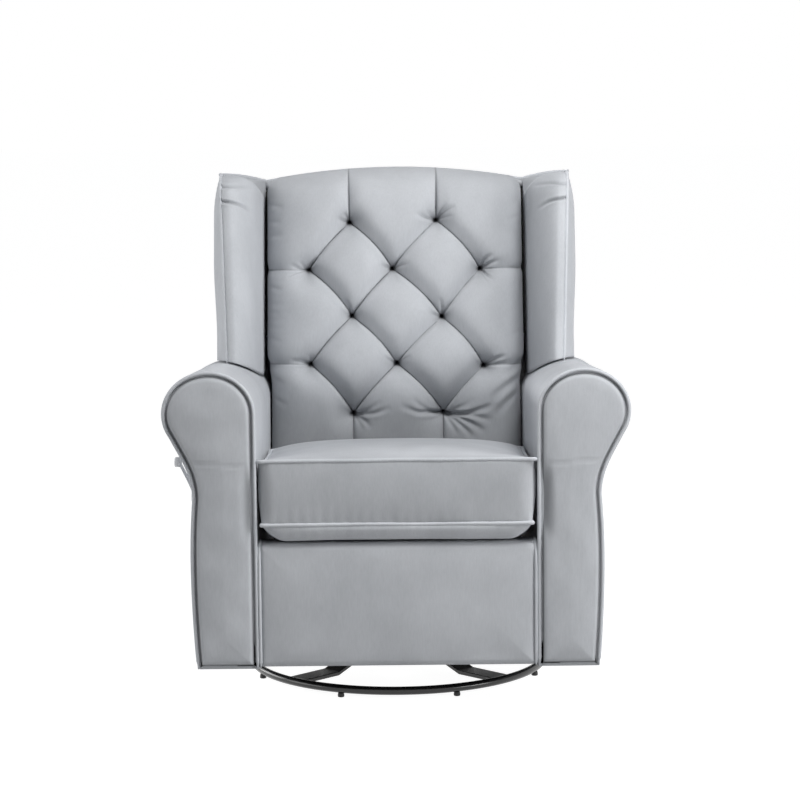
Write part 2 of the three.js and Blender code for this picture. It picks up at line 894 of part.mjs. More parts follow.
// The stay's lower eye is the pivot left open, so its pin runs in a short slanted slot
function legrestStay() {
  const reach = Math.hypot(stayOnLinkPivot.y - stayPivot.y, stayOnLinkPivot.z - stayPivot.z);
  const way = { y: (stayOnLinkPivot.y - stayPivot.y) / reach, z: (stayOnLinkPivot.z - stayPivot.z) / reach };
  const across = { y: -way.z, z: way.y };
  const slotEnd = step(step(stayOnLinkPivot, way, stayPlayAlong), across, stayPlayAcross);
  const eyeMiddle = step(step(stayOnLinkPivot, way, stayPlayAlong / 2), across, stayPlayAcross / 2);
  const eye = pinAlongX(eyeMiddle, stayEye, layer(2), layerEnd(2), earSides);
  const slotWidth = 2 * (linkPin + pinGap) + staySlack;
  const past = linkPitch / 3;
  const slot = roundBar(stayOnLinkPivot, slotEnd, slotWidth, layer(2) - past, layerEnd(2) + past);
  return cut(join(linkBar(stayPivot, eyeMiddle, 2), eye), linkHole(stayPivot, 2), slot);
}

const legrestBoardFront = legrestFront + legrestPad + seatGap;
const legrestBoardRear = legrestBoardFront + legrestBoardThick;

function legrestBracket() {
  const front = legrestBoardRear + seatGap;
  const outline = [
    [front, stayPivot.z - bracketFoot],
    [stayPivot.y + linkWidth / 2, stayPivot.z - bracketFoot],
    [panelPivot.y + linkWidth / 2, panelPivot.z],
    [panelPivot.y + linkWidth / 2, panelPivot.z + bracketHead],
    [front, panelPivot.z + bracketHead],
  ];
  const plate = alongX(outline, layer(3), layerEnd(3));
  const flange = box(
    layer(3),
    layerEnd(3) + bracketFlange,
    front,
    front + bracketFlangeThick,
    stayPivot.z - bracketFoot,
    panelPivot.z + bracketHead,
  );
  return join(plate, flange, linkPinFrom(panelPivot, 2, 3), linkPinFrom(stayPivot, 2, 3));
}

function legrestBoard() {
  const half = legrestHalf - legrestBoardInset;
  return box(
    -half,
    half,
    legrestBoardFront,
    legrestBoardRear,
    legrestBottom + legrestBoardInset,
    legrestTop - legrestBoardInset,
  );
}

function legrestCushion() {
  const halfDeep = (legrestTop - legrestBottom) / 2;
  const edge = legrestPad - legrestCrown;
  const layerAt = (insetBy, height) =>
    cushionRing(legrestHalf - insetBy, halfDeep - insetBy, legrestCorner, 0, height);
  const roundShares = [[1, 0], [0.55, 0.34], [0.2, 0.68], [0, 1]];
  const crownShares = [[0.45, 0.55], [0.9, 0.9]];
  const rings = [
    layerAt(legrestPadEdge / 2, 0),
    layerAt(0, legrestPadEdge / 2),
    ...roundShares
      .map(([inwards, down]) => layerAt(legrestPadEdge * inwards, edge - legrestPadEdge * down))
      .reverse(),
    ...crownShares.map(([inwards, up]) =>
      layerAt(mix(legrestPadEdge, halfDeep - legrestCorner, inwards), edge + legrestCrown * up),
    ),
  ];
  return loft(rings)
    .rotateX(Math.PI / 2)
    .translate(0, legrestFront + legrestPad, (legrestTop + legrestBottom) / 2);
}

// Back: planes that lean with height
const frontLean = Math.tan(backFrontLean * degree);
const rearLean = Math.tan(backRearLean * degree);
const backFrontAt = (z) => backFrontAtSeat + (z - backSeatHeight) * frontLean;
const backRearAt = (z) => backRearFoot + (z - backRearFootHeight) * rearLean;
const boardFrontAt = (z) => backFrontAt(z) + backCushionThick + seatGap;
const archAt = (x, half) => backTop - backArch * (x / half) ** 2;
const wingRearFall = wingTop - wingTopFall - (backTop - backTopSink - backArch);

// Top line of the whole back: an arch over the cushion, then the tops of the wings
function backTopAt(x) {
  const out = Math.abs(x);
  if (out <= wingInner) return archAt(x, wingInner) - backTopSink;
  return wingTop - wingRearFall - wingTopFall * ((wingOuter - out) / (wingOuter - wingInner)) ** 2;
}

// A flat sheet in the XZ plane, leant back by shearing it
function leant(geometry, slope, height) {
  const shear = new THREE.Matrix4().set(1, 0, 0, 0, 0, 1, slope, -slope * height, 0, 0, 1, 0, 0, 0, 0, 1);
  return geometry.applyMatrix4(shear);
}

function topLine(half, drop) {
  const line = [];
  for (let i = 0; i <= topSteps; i += 1) {
    const x = mix(half, -half, i / topSteps);
    line.push([x, backTopAt(x) - drop]);
  }
  return line;
}

// Outside back panel, with a lip over the board that closes the top
function outsideBack() {
  const outline = [[-wingOuter, backBottom], [wingOuter, backBottom], ...topLine(wingOuter, 0)];
  const panel = alongY(outline, backRearFoot - backPanelThick, backRearFoot);
  const lipHalf = wingInner - seatGap;
  const band = [...topLine(lipHalf, 0), ...topLine(lipHalf, lipThick).reverse()];
  const lip = alongY(band, backFrontAtSeat, backRearFoot - backPanelThick / 2);
  const whole = leant(join(panel, lip), rearLean, backRearFootHeight);
  const ahead = box(-wingOuter, wingOuter, 0, boardFrontAt(backSeatHeight), backBottom, backTop + overrun);
  return cut(whole, leant(ahead, frontLean, backSeatHeight));
}

function backBoard() {
  const upperHalf = wingInner - seatGap;
  const outline = [
    [-boardLowerHalf, backBottom],
    [boardLowerHalf, backBottom],
    [boardLowerHalf, boardStep],
    [upperHalf, boardStep],
    ...topLine(upperHalf, boardTopDrop),
    [-upperHalf, boardStep],
    [-boardLowerHalf, boardStep],
  ];
  const front = boardFrontAt(backSeatHeight);
  return leant(alongY(outline, front, front + boardThick), frontLean, backSeatHeight);
}

// Tufted back cushion: pinches at the tufts and valleys along the seams between them
const tufts = tuftRows.flatMap((z, row) =>
  (row % 2 ? [-tuftWide, 0, tuftWide] : [-tuftNarrow, tuftNarrow]).map((x) => ({ x, z, row })),
);

function distanceToSeam(x, z, from, to) {
  const line = new THREE.Line3(new THREE.Vector3(from.x, from.z, 0), new THREE.Vector3(to.x, to.z, 0));
  const point = new THREE.Vector3(x, z, 0);
  return line.closestPointToPoint(point, true, new THREE.Vector3()).distanceTo(point);
}

const seams = tufts.flatMap((from) =>
  tufts
    .filter((to) => to.row === from.row + 1 && Math.abs(to.x - from.x) < tuftWide)
    .map((to) => ({ from, to })),
);

function tuftDip(x, z) {
  const bell = (distance, radius) => Math.exp(-((distance / radius) ** 2));
  const pinch = Math.max(...tufts.map((tuft) => bell(Math.hypot(x - tuft.x, z - tuft.z), tuftRadius)));
  const seam = Math.max(...seams.map(({ from, to }) => bell(distanceToSeam(x, z, from, to), seamRadius)));
  return tuftDepth * pinch + seamDepth * seam * (1 - pinch);
}

const backHalfAt = (z) =>
  backFootHalf +
  (backArmHalf - backFootHalf) * smooth(z, backFootHeight, backArmLow) +
  (backUpperHalf - backArmHalf) * smooth(z, backArmHigh, backOverArm);

function backCushionPoint(u, v) {
  const topHere = archAt(u * backUpperHalf, backUpperHalf);
  const cornerSize = backCornerRadius / backUpperHalf;
  const cornerShare = clamp((Math.abs(u) - 1 + cornerSize) / cornerSize, 0, 1);
  const top = topHere - backCornerRadius * (1 - Math.sqrt(1 - cornerShare ** 2));
  const z = mix(backCushionBottom, top, v);
  const x = u * backHalfAt(z);
  const across = 1 - Math.abs(u) ** backSideSharpness;
  const up = 1 - Math.abs(2 * v - 1) ** backEndSharpness;
  const roundness = Math.sqrt(across * up);
  const thick = backCushionThick * mix(backSideShare, 1, roundness) - tuftDip(x, z) * roundness;
  const y = Math.max(boardFrontAt(z) - seatGap - thick, seatRear + backClear);
  return new THREE.Vector3(x, y, z);
}

function backCushion() {
  const columns = backColumns;
  const rows = backRows;
  const corners = [];
  const index = [];
  for (let row = 0; row <= rows; row += 1) {
    for (let column = 0; column <= columns; column += 1) {
      corners.push(backCushionPoint((2 * column) / columns - 1, row / rows));
    }
  }
  const at = (column, row) => row * (columns + 1) + column;
  for (let row = 0; row < rows; row += 1) {
    for (let column = 0; column < columns; column += 1) {
      const [a, b] = [at(column, row), at(column + 1, row)];
      const [c, d] = [at(column + 1, row + 1), at(column, row + 1)];
      index.push(a, b, c, a, c, d);
    }
  }
  const rim = [];
  for (let column = 0; column < columns; column += 1) rim.push(at(column, 0));
  for (let row = 0; row < rows; row += 1) rim.push(at(columns, row));
  for (let column = columns; column > 0; column -= 1) rim.push(at(column, rows));
  for (let row = rows; row > 0; row -= 1) rim.push(at(0, row));
  const behind = rim.map((corner) => {
    const { x, z } = corners[corner];
    const low = z - backTopSink * smooth(z, backTop - backArch - backSinkReach, backTop - backArch);
    corners.push(new THREE.Vector3(x, boardFrontAt(low) - seatGap, low));
    return corners.length - 1;
  });
  const middleHeight = (backCushionBottom + backTop) / 2;
  const middle = corners.length;
  corners.push(new THREE.Vector3(0, boardFrontAt(middleHeight) - seatGap, middleHeight));
  rim.forEach((corner, i) => {
    const next = (i + 1) % rim.length;
    index.push(corner, behind[i], rim[next], rim[next], behind[i], behind[next]);
    index.push(behind[i], middle, behind[next]);
  });
  const geometry = new THREE.BufferGeometry().setFromPoints(corners);
  geometry.setIndex(index);
  return faceOut(geometry);
}

// Wings: plan sections stacked up the height, widest apart at their front edges
const ledgeAt = (y) => armTopAt(y) + wingLedgeClear;
const wingLedge = ledgeAt(wingFrontLow);
const wingRearAt = (z) => backRearAt(z) - backPanelThick - seatGap;

function wingSection(z, drop) {
  const upShare = (z - wingLedge) / (wingTop - wingLedge);
  const front = mix(wingFrontLow, wingFrontHigh, upShare) + drop;
  const edge = mix(wingEdgeLow, wingEdgeHigh, clamp(upShare, 0, 1));
  const rear = wingRearAt(z);
  const hollow = Math.min(backFrontAt(z) + wingHollow, rear - wingNose);
  return [
    [wingInner, rear],
    [wingInner, hollow],
    ...wingInsideShares.map(([out, ahead]) => [
      mix(wingInner, edge - wingNose, out),
      mix(hollow, front, ahead),
    ]),
    [edge - wingNose, front + wingNose / 6],
    [edge - wingNose / 2, front],
    [edge - wingNose / 6, front + wingNose / 8],
    [edge, front + wingNose / 2],
    ...wingOutsideShares.map(([out, back]) => [mix(edge, wingOuter, out), mix(front, rear, back)]),
    [wingOuter, rear],
  ];
}

// A point of a section taken up or down along the leaning rear plane
function moved(x, y, from, to) {
  return new THREE.Vector3(x, y + (to - from) * rearLean, to);
}

function upperWing() {
  const rise = wingTop - wingShoulder;
  const levels = wingLevelShares.map((share) => wingShoulder + rise * share);
  const foot = wingSection(wingLedge, 0).map(([x, y]) => moved(x, y, wingLedge, ledgeAt(y) - wingArmReach));
  const rings = [foot];
  const depth = wingRearAt(wingTop) - wingFrontHigh;
  for (const z of levels) {
    const over = Math.max(z - (wingTop - wingNoseRadius), 0);
    const drop = wingNoseRadius - Math.sqrt(Math.max(wingNoseRadius ** 2 - over ** 2, 0));
    const fallShare = ((z - wingShoulder) / rise) ** 3;
    rings.push(
      wingSection(z, drop).map(([x, y]) => {
        const inShare = (wingOuter - x) / (wingOuter - wingInner);
        const backShare = clamp((y - wingFrontHigh) / depth, 0, 1);
        const fall = wingTopFall * inShare ** 2 + wingRearFall * backShare;
        return moved(x, y, z, z - fall * fallShare);
      }),
    );
  }
  return loft(rings);
}

function wing() {
  const stations = [
    [backBottom, wingTailInner],
    [wingTailWaist, wingTailInner],
    [wingTailWaist + wingInner - wingTailInner, wingInner],
    [wingTailTop, wingInner],
  ];
  const tail = stations.map(([z, inner]) =>
    [
      [inner, wingRearAt(z)],
      [inner, wingTailFront],
      [wingOuter, wingTailFront],
      [wingOuter, wingRearAt(z)],
    ].map(([x, y]) => new THREE.Vector3(x, y, z)),
  );
  const overArm = inset(armOutline(), -wingLedgeClear);
  const arm = [wingFrontLow - overrun, armRear + wingLedgeClear].map((y) => armRing(overArm, y));
  return cut(join(loft(tail), upperWing()), loft(arm));
}

// Back hinge: a plate on each arm and a bracket on the back board
const hingeCentre = { y: hingeDepth, z: hingeHeight };
const hingePlateOut = armInner - seatGap;
const hingePlateIn = hingePlateOut - hingeThick;
const hingeBracketOut = hingePlateIn - seatGap;
const hingeBracketIn = hingeBracketOut - hingeThick;

function hingePlate() {
  const disc = pinAlongX(hingeCentre, hingeEar, hingePlateIn, hingePlateOut, earSides);
  const tongue = box(
    hingePlateIn,
    hingePlateOut,
    hingeDepth - hingeTongue,
    hingeDepth,
    hingeHeight - hingeEar,
    hingeHeight + hingeEar,
  );
  const hole = pinAlongX(hingeCentre, hingePin + pinGap, hingePlateIn - overrun, hingePlateOut + overrun);
  return cut(join(disc, tongue), hole);
}

function hingeBracket() {
  const ear = pinAlongX(hingeCentre, hingeEar, hingeBracketIn, hingeBracketOut, earSides);
  const strapFront = (z) => boardFrontAt(z) + boardThick / 2 - hingeStrap / 2;
  const foot = hingeHeight - hingeEar / 3;
  const outline = [
    [strapFront(foot), foot],
    [hingeDepth + hingeEar / 2, foot],
    [strapFront(hingeStrapTop) + hingeStrap, hingeStrapTop],
    [strapFront(hingeStrapTop), hingeStrapTop],
  ];
  const pin = pinAlongX(hingeCentre, hingePin, hingeBracketIn + hingeThick / 2, hingePlateOut - pinGap);
  return join(ear, alongX(outline, hingeBracketIn, hingeBracketOut), pin);
}

// Assembly
add("base_ring", baseRing(), blackSteel);
add("base_cross", baseCross(), blackSteel);
for (let number = 1; number <= footCount; number += 1) {
  add("foot_glide_" + number, footGlide(number), blackPlastic);
}
add("swivel_lower_race", race(lowerRace, lowerRace + raceHeight), plainSteel);
add("swivel_post", swivelPost(), plainSteel);
add("swivel_upper_race", race(upperRace, upperRace + raceHeight), plainSteel);
add("glide_base_plate", glideBasePlate(), blackSteel);
addPair("glide_tower", glideTower(), blackSteel);
addPair("glide_link_front", glideLink(glideEnds[0]), plainSteel);
addPair("glide_link_rear", glideLink(glideEnds[1]), plainSteel);
addPair("glide_hanger", glideHanger(), blackSteel);
add("body_rail_front", bodyRail(railFront), timber);
add("body_rail_rear", bodyRail(railRear), timber);
add("rear_skirt", rearSkirt(), greyCloth);
add("seat_frame", seatFrame(), timber);
add("seat_webbing", seatWebbing(), webbing);
add("seat_cushion", seatCushion(), greyCloth);
addPair("mechanism_plate", mechanismPlate(), blackSteel);
add("arm_pad_left", armPad(), greyCloth);
add("arm_pad_right", cut(armPad(), leverRecess()), greyCloth).scale.x = -1;
addPair("arm_frame", armPocket(0), timber);
addPair("arm_front", armFrontPanel(), greyCloth);
addPair("back_hinge_plate", hingePlate(), blackSteel);
add("lever_plate", leverPlate(), greyPlastic).scale.x = -1;
add("recline_lever", reclineLever(), greyPlastic).scale.x = -1;
add("legrest_drive_arms", driveArms(), blackSteel);
addPair("legrest_rear_link", rearLink(), plainSteel);
addPair("legrest_cross_link", crossLink(), plainSteel);
addPair("legrest_lift_link", liftLink(), plainSteel);
addPair("legrest_stay", legrestStay(), plainSteel);
addPair("legrest_bracket", legrestBracket(), blackSteel);
add("legrest_board", legrestBoard(), timber);
add("legrest_cushion", legrestCushion(), greyCloth);
add("back_board", backBoard(), timber);
add("back_cushion", backCushion(), greyCloth);
addPair("wing", wing(), greyCloth);
add("outside_back", outsideBack(), greyCloth);
addPair("back_hinge_bracket", hingeBracket(), blackSteel);

export default chair;
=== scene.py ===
"""Fabric, finishes and studio for a swivel glider recliner. Metres, +Z up, the chair faces -Y."""

import math

import bmesh
import bpy
import numpy as np
from bpy.props import FloatProperty, FloatVectorProperty, IntProperty, PointerProperty
from bpy.types import Operator, Panel, PropertyGroup
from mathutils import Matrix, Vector


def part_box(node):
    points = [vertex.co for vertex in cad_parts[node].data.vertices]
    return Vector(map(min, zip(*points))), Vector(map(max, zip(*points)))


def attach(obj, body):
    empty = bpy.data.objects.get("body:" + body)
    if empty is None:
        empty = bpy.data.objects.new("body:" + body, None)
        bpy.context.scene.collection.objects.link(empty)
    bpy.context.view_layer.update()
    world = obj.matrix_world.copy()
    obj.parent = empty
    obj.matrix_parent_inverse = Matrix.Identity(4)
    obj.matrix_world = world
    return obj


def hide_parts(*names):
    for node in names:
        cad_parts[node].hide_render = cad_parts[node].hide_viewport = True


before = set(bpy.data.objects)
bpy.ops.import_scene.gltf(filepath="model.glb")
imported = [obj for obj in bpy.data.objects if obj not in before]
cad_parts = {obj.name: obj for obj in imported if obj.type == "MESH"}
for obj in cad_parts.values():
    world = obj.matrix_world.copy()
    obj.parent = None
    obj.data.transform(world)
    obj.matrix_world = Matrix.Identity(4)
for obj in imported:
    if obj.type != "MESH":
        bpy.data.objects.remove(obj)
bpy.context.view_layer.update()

bl_info = {
    "name": "Swivel Glider Recliner",
    "version": (1, 0, 0),
    "blender": (4, 5, 0),
    "location": "3D View > Sidebar > Recliner",
    "description": "Dresses the frame of a tufted swivel glider recliner in brushed fabric",
    "category": "Object",
}

MM = 0.001
SIDES = (("left", 1), ("right", -1))


# Settings


def length(name, size, description):
    """A setting for a length."""
    return FloatProperty(name=name, description=description, default=size, unit="LENGTH")


def angle(name, degrees, description):
    """A setting for an angle."""
    return FloatProperty(name=name, description=description, default=math.radians(degrees), unit="ROTATION")


def number(name, value, description):
    """A setting for a share, a power or another plain number."""
    return FloatProperty(name=name, description=description, default=value)


def colour(name, value, description):
    """A setting for a colour."""
    return FloatVectorProperty(
        name=name,
        description=description,
        default=value,
        subtype="COLOR",
        min=0,
        max=1,
    )


class ClothSettings(PropertyGroup):
    """Fabric of the whole chair"""

    light: colour("Raised nap", (0.55, 0.567, 0.594), "Colour of the nap where it stands up")
    dark: colour("Laid nap", (0.42, 0.436, 0.46), "Colour of the nap where it is brushed flat")
    welt_radius: length("Welt radius", 3.6 * MM, "Radius of the covered cords")
    streak: number("Brushed streaks", 0.7, "Share of streaks in the nap")
    mottle: number("Soft patches", 1.1, "Share of soft patches in the nap")
    seed: IntProperty(name="Seed", description="Seed of the small puckers", default=7)


class BackSettings(PropertyGroup):
    """Tufted back cushion"""

    tuft_depth: length("Tuft depth", 27 * MM, "How far a tuft pulls the face in")
    tuft_radius: length("Tuft radius", 12 * MM, "Size of the pinch at a tuft")
    seam_depth: length("Seam depth", 14 * MM, "Depth of the folds between tufts")
    seam_bow: length("Seam bow", 9 * MM, "How far a fold bows above a straight line")
    crown: length("Pad crown", 13 * MM, "Height of each pad over its edges")
    crease: number("Creases", 2.0, "Strength of the creases at the tufts")


class SeatSettings(PropertyGroup):
    """Seat cushion"""

    crown: length("Crown", 17 * MM, "Rise of the top over its welt")
    tilt: angle("Tilt", 4.75, "Fall of the seat towards the back")
    lift: length("Lift", 2 * MM, "How far the underside is drawn up at the front")
    ear: length("Corner ears", 6 * MM, "How far the welted corners poke out")
    fall: length("Side fall", 14 * MM, "How far the top's side edges fall towards the rear")
    pucker: length("Puckers", 3.52 * MM, "Depth of the gathers along the welts")


class ArmSettings(PropertyGroup):
    """Rolled arms and their front panels"""

    groove: length("Groove", 8 * MM, "Depth of the groove round the front panel")
    bulge: length("Bulge", 8 * MM, "How far the front panel stands out in its middle")


class LegrestSettings(PropertyGroup):
    """Legrest pad"""

    crown: length("Crown", 8 * MM, "How far the pad's face stands out in its middle")
    edge: length("Edge radius", 12 * MM, "Rounding of the pad's front edge")


class BaseSettings(PropertyGroup):
    """Steel ring base"""

    coat: colour("Powder coat", (0.012, 0.012, 0.013), "Colour of the base and the mechanism")
    bevel: length("Bar edges", 1.6 * MM, "Rounding of the flat bars' edges")


class StageSettings(PropertyGroup):
    """Camera, lamps and floor"""

    distance: length("Distance", 5.032, "From the swivel's axis to the camera")
    height: length("Height", 1.2, "Height of the camera")
    pitch: angle("Pitch", 7.555, "How far the camera looks down")
    roll: angle("Roll", 0.6, "How far the camera is turned about its view")
    shift: number("Shift", 0.0068, "Sideways shift of the lens")
    lens: number("Lens", 115.6, "Focal length in millimetres")
    key: number("Key lamp", 45.0, "Power of the lamp above the seat in watts")
    side: number("Side lamp", 37.0, "Power of the lamp on the right in watts")
    fill: number("Fill lamp", 24.0, "Power of the lamp on the left in watts")
    rim: number("Rim lamp", 30.0, "Power of the lamp behind on the left in watts")
    world: number("Surroundings", 0.12, "Strength of the light all round")


SETTINGS = {
    "recliner_cloth": ClothSettings,
    "recliner_back": BackSettings,
    "recliner_seat": SeatSettings,
    "recliner_arms": ArmSettings,
    "recliner_legrest": LegrestSettings,
    "recliner_base": BaseSettings,
    "recliner_stage": StageSettings,
}


# Shapes


def ease(value, low, high):
    """0 below low, 1 above high, and smooth between them."""
    share = np.clip((value - low) / (high - low), 0, 1)
    return share * share * (3 - 2 * share)


def crowd(count, pull=0.35):
    """Stations from -1 to 1 that crowd towards both ends."""
    even = np.linspace(-1, 1, count)
    return even * (1 + pull - pull * even * even)


def resample(points, count, closed=False):
    """The same line with evenly spaced points."""
    points = np.asarray(points, float)
    if closed:
        points = np.vstack([points, points[:1]])
    steps = np.linalg.norm(np.diff(points, axis=0), axis=1)
    along = np.concatenate([[0], np.cumsum(steps)])
    wanted = np.linspace(0, along[-1], count + 1)[:-1] if closed else np.linspace(0, along[-1], count)
    return np.stack([np.interp(wanted, along, points[:, axis]) for axis in range(points.shape[1])], axis=1)


def spline(points, parts=8):
    """A smooth line through the points, open at its ends."""
    points = np.asarray(points, float)
    padded = np.vstack([2 * points[0] - points[1], points, 2 * points[-1] - points[-2]])
    line = []
    for i in range(1, len(padded) - 2):
        before, start, end, after = padded[i - 1 : i + 3]
        square = 2 * before - 5 * start + 4 * end - after
        cube = 3 * start - before - 3 * end + after
        for share in np.arange(parts) / parts:
            line.append(0.5 * (2 * start + (end - before) * share + square * share**2 + cube * share**3))
    line.append(points[-1])
    return np.array(line)


def inset_line(outline, distance):
    """A closed outline moved inwards along its normals; a counter-clockwise one moves in."""
    into = outline - np.roll(outline, 1, axis=0)
    out = np.roll(outline, -1, axis=0) - outline
    into /= np.linalg.norm(into, axis=1, keepdims=True)
    out /= np.linalg.norm(out, axis=1, keepdims=True)
    normal = np.stack([-into[:, 1] - out[:, 1], into[:, 0] + out[:, 0]], axis=1)
    normal /= np.linalg.norm(normal, axis=1, keepdims=True)
    square = np.stack([-into[:, 1], into[:, 0]], axis=1)
    stretch = distance / np.maximum((normal * square).sum(axis=1, keepdims=True), math.sqrt(0.5))
    return outline + normal * stretch


def bow_line(start, end, bow, count=24):
    """A bowed line in a plane; a positive bow lifts it above its chord."""
    start, end = np.asarray(start, float), np.asarray(end, float)
    chord = end - start
    normal = np.array([-chord[1], chord[0]])
    normal *= math.copysign(1, normal[1] or 1) / np.linalg.norm(chord)
    share = np.linspace(0, 1, count)[:, None]
    return start + chord * share + normal * (4 * bow * share * (1 - share))


def distance_to(points, line, reach=0.08):
    """Distance from each point to a line, the share along it, and its side: 1 above it, -1 below."""
    best = np.full(len(points), 1e9)
    share = np.zeros(len(points))
    side = np.ones(len(points))
    close = np.all((points > line.min(axis=0) - reach) & (points < line.max(axis=0) + reach), axis=1)
    if not close.all():
        best[close], share[close], side[close] = distance_to(points[close], line)
        return best, share, side
    steps = np.linalg.norm(np.diff(line, axis=0), axis=1)
    along = np.concatenate([[0], np.cumsum(steps)])
    for i, (start, end) in enumerate(zip(line[:-1], line[1:])):
        way = (end - start) / steps[i]
        offset = points - start
        ahead = np.clip(offset @ way, 0, steps[i])
        apart = offset - ahead[:, None] * way
        distance = np.hypot(apart[:, 0], apart[:, 1])
        up = np.array([-way[1], way[0]])
        up *= math.copysign(1, up[1] or up[0] or 1)
        near = distance < best
        best[near] = distance[near]
        share[near] = ((along[i] + ahead) / along[-1])[near]
        side[near] = (apart @ up / np.maximum(distance, 1e-9))[near]
    return best, share, side


def ripple(points, wavelength, seed, waves=7):
    """Soft undulation between -1 and 1 from a few sine waves."""
    random = np.random.default_rng(seed)
    total = np.zeros(len(points))
    for _ in range(waves):
        way = random.normal(size=points.shape[1])
        way *= 2 * math.pi / wavelength * random.uniform(0.6, 1.5) / np.linalg.norm(way)
        total += np.sin(points @ way + random.uniform(0, 2 * math.pi))
    return total / waves


def bell(distance, width):
    """1 at the middle and falling away to 0 like a bell."""
    return np.exp(-((distance / width) ** 2))


def fold(distance, width):
    """A soft valley with low shoulders: 1 in its middle, slightly below 0 beside it."""
    across = (distance / width) ** 2
    return (1 - 0.55 * across) * np.exp(-0.5 * across)


def round_edge(depth, radius):
    """How far a rounded edge falls back at a depth inside the border."""
    return radius * (1 - np.sqrt(1 - (1 - np.clip(depth / radius, 0, 1)) ** 2))


def mirror_x(points, sign):
    """Points as they are for the left side, or mirrored for the right side."""
    return np.asarray(points) * np.array([sign, 1, 1])


def mirrored(skin, sign):
    """A skin as it is for the left side, or mirrored for the right side."""
    return mirror_x(skin[0], sign), skin[1]


def circle(radius, count):
    """Points round a circle in its own plane."""
    turns = np.linspace(0, 2 * math.pi, count, endpoint=False)
    return radius * np.column_stack([np.cos(turns), np.sin(turns)])


def grid_over(across, up):
    """Both coordinates of every point of a grid, row by row."""
    return [grid.ravel() for grid in np.meshgrid(across, up)]


# Meshes


def make_piece(name, skin, finish, body, smooth=True, merge=True):
    """A new mesh object that rides on a body; its skin is vertices and faces."""
    vertices, faces = skin
    mesh = bpy.data.meshes.new(name)
    mesh.from_pydata([tuple(v) for v in np.asarray(vertices, float)], [], [tuple(f) for f in faces])
    shell = bmesh.new()
    shell.from_mesh(mesh)
    if merge:
        bmesh.ops.remove_doubles(shell, verts=shell.verts, dist=1e-6)
    bmesh.ops.recalc_face_normals(shell, faces=shell.faces)
    shell.to_mesh(mesh)
    shell.free()
    mesh.polygons.foreach_set("use_smooth", [smooth] * len(mesh.polygons))
    piece = bpy.data.objects.new(name, mesh)
    bpy.context.scene.collection.objects.link(piece)
    mesh.materials.append(finish_of(finish))
    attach(piece, body)
    return piece


def make_pad(name, skin, body, node=None, smooth=True, merge=True):
    """A padded piece in velvet that stands for a CAD node, if one is given."""
    pad = make_piece(name, skin, "velvet", body, smooth=smooth, merge=merge)
    if node:
        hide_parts(node)
    return pad


def grid_faces(rows, columns, wrap=False, start=0):
    """Quads over rows of points; wrap joins the last column to the first."""
    faces = []
    for row in range(rows - 1):
        for column in range(columns if wrap else columns - 1):
            after = (column + 1) % columns
            low, high = start + row * columns, start + (row + 1) * columns
            faces.append((low + column, low + after, high + after, high + column))
    return faces


def grid_rim(rows, columns):
    """Indices round the border of a grid."""
    rim = list(range(columns))
    rim += [row * columns + columns - 1 for row in range(1, rows)]
    rim += [(rows - 1) * columns + column for column in range(columns - 2, -1, -1)]
    return rim + [row * columns for row in range(rows - 2, 0, -1)]


def fan_faces(ring, middle):
    """Triangles from a closed ring of indices to its middle point."""
    return [(a, b, middle) for a, b in zip(ring, ring[1:] + ring[:1])]


def loft(rings, capped=True):
    """Vertices and faces of a closed skin over rings of equally many points."""
    rings = np.asarray(rings, float)
    count = rings.shape[1]
    vertices = rings.reshape(-1, 3)
    faces = grid_faces(len(rings), count, wrap=True)
    if capped:
        for row in (0, len(rings) - 1):
            middle = len(vertices)
            vertices = np.vstack([vertices, rings[row].mean(axis=0)])
            faces += fan_faces(list(range(row * count, (row + 1) * count)), middle)
    return vertices, faces


def closed_pad(outer, inner, rows, columns):
    """Vertices and faces of a pad between two grids of points, closed round its rim."""
    total = len(outer)
    faces = grid_faces(rows, columns)
    faces += [tuple(reversed(quad)) for quad in grid_faces(rows, columns, start=total)]
    rim = grid_rim(rows, columns)
    faces += [(a, b, b + total, a + total) for a, b in zip(rim, rim[1:] + rim[:1])]
    return np.vstack([outer, inner]), faces


def joined(*skins):
    """One skin of several."""
    vertices, faces = [], []
    for points, quads in skins:
        start = sum(len(part) for part in vertices)
        faces += [tuple(i + start for i in face) for face in quads]
        vertices.append(points)
    return np.vstack(vertices), faces


def mesh_normals(piece):
    """Vertex positions and normals of a piece."""
    count = len(piece.data.vertices)
    places = np.empty(count * 3)
    normals = np.empty(count * 3)
    piece.data.vertices.foreach_get("co", places)
    piece.data.vertex_normals.foreach_get("vector", normals)
    return places.reshape(-1, 3), normals.reshape(-1, 3)


def move_to(piece, places):
    """Gives each vertex a new place."""
    piece.data.vertices.foreach_set("co", places.ravel())
    piece.data.update()


def push(piece, amount):
    """Moves each vertex along its normal."""
    places, normals = mesh_normals(piece)
    move_to(piece, places + normals * amount[:, None])


def paint_shade(piece, dark):
    """Stores painted shade for the piece's velvet in its pinch attribute; the values belong to the piece's
    first points.
    """
    values = np.zeros(len(piece.data.vertices))
    values[: len(dark)] = dark
    piece.data.attributes.new("pinch", "FLOAT", "POINT").data.foreach_set("value", values)


def soften(piece, width, limit=30):
    """Rounds the edges that turn by more than the limit, in degrees."""
    bevel = piece.modifiers.new("Soft edges", "BEVEL")
    bevel.width = width
    bevel.segments = 3
    bevel.limit_method = "ANGLE"
    bevel.angle_limit = math.radians(limit)


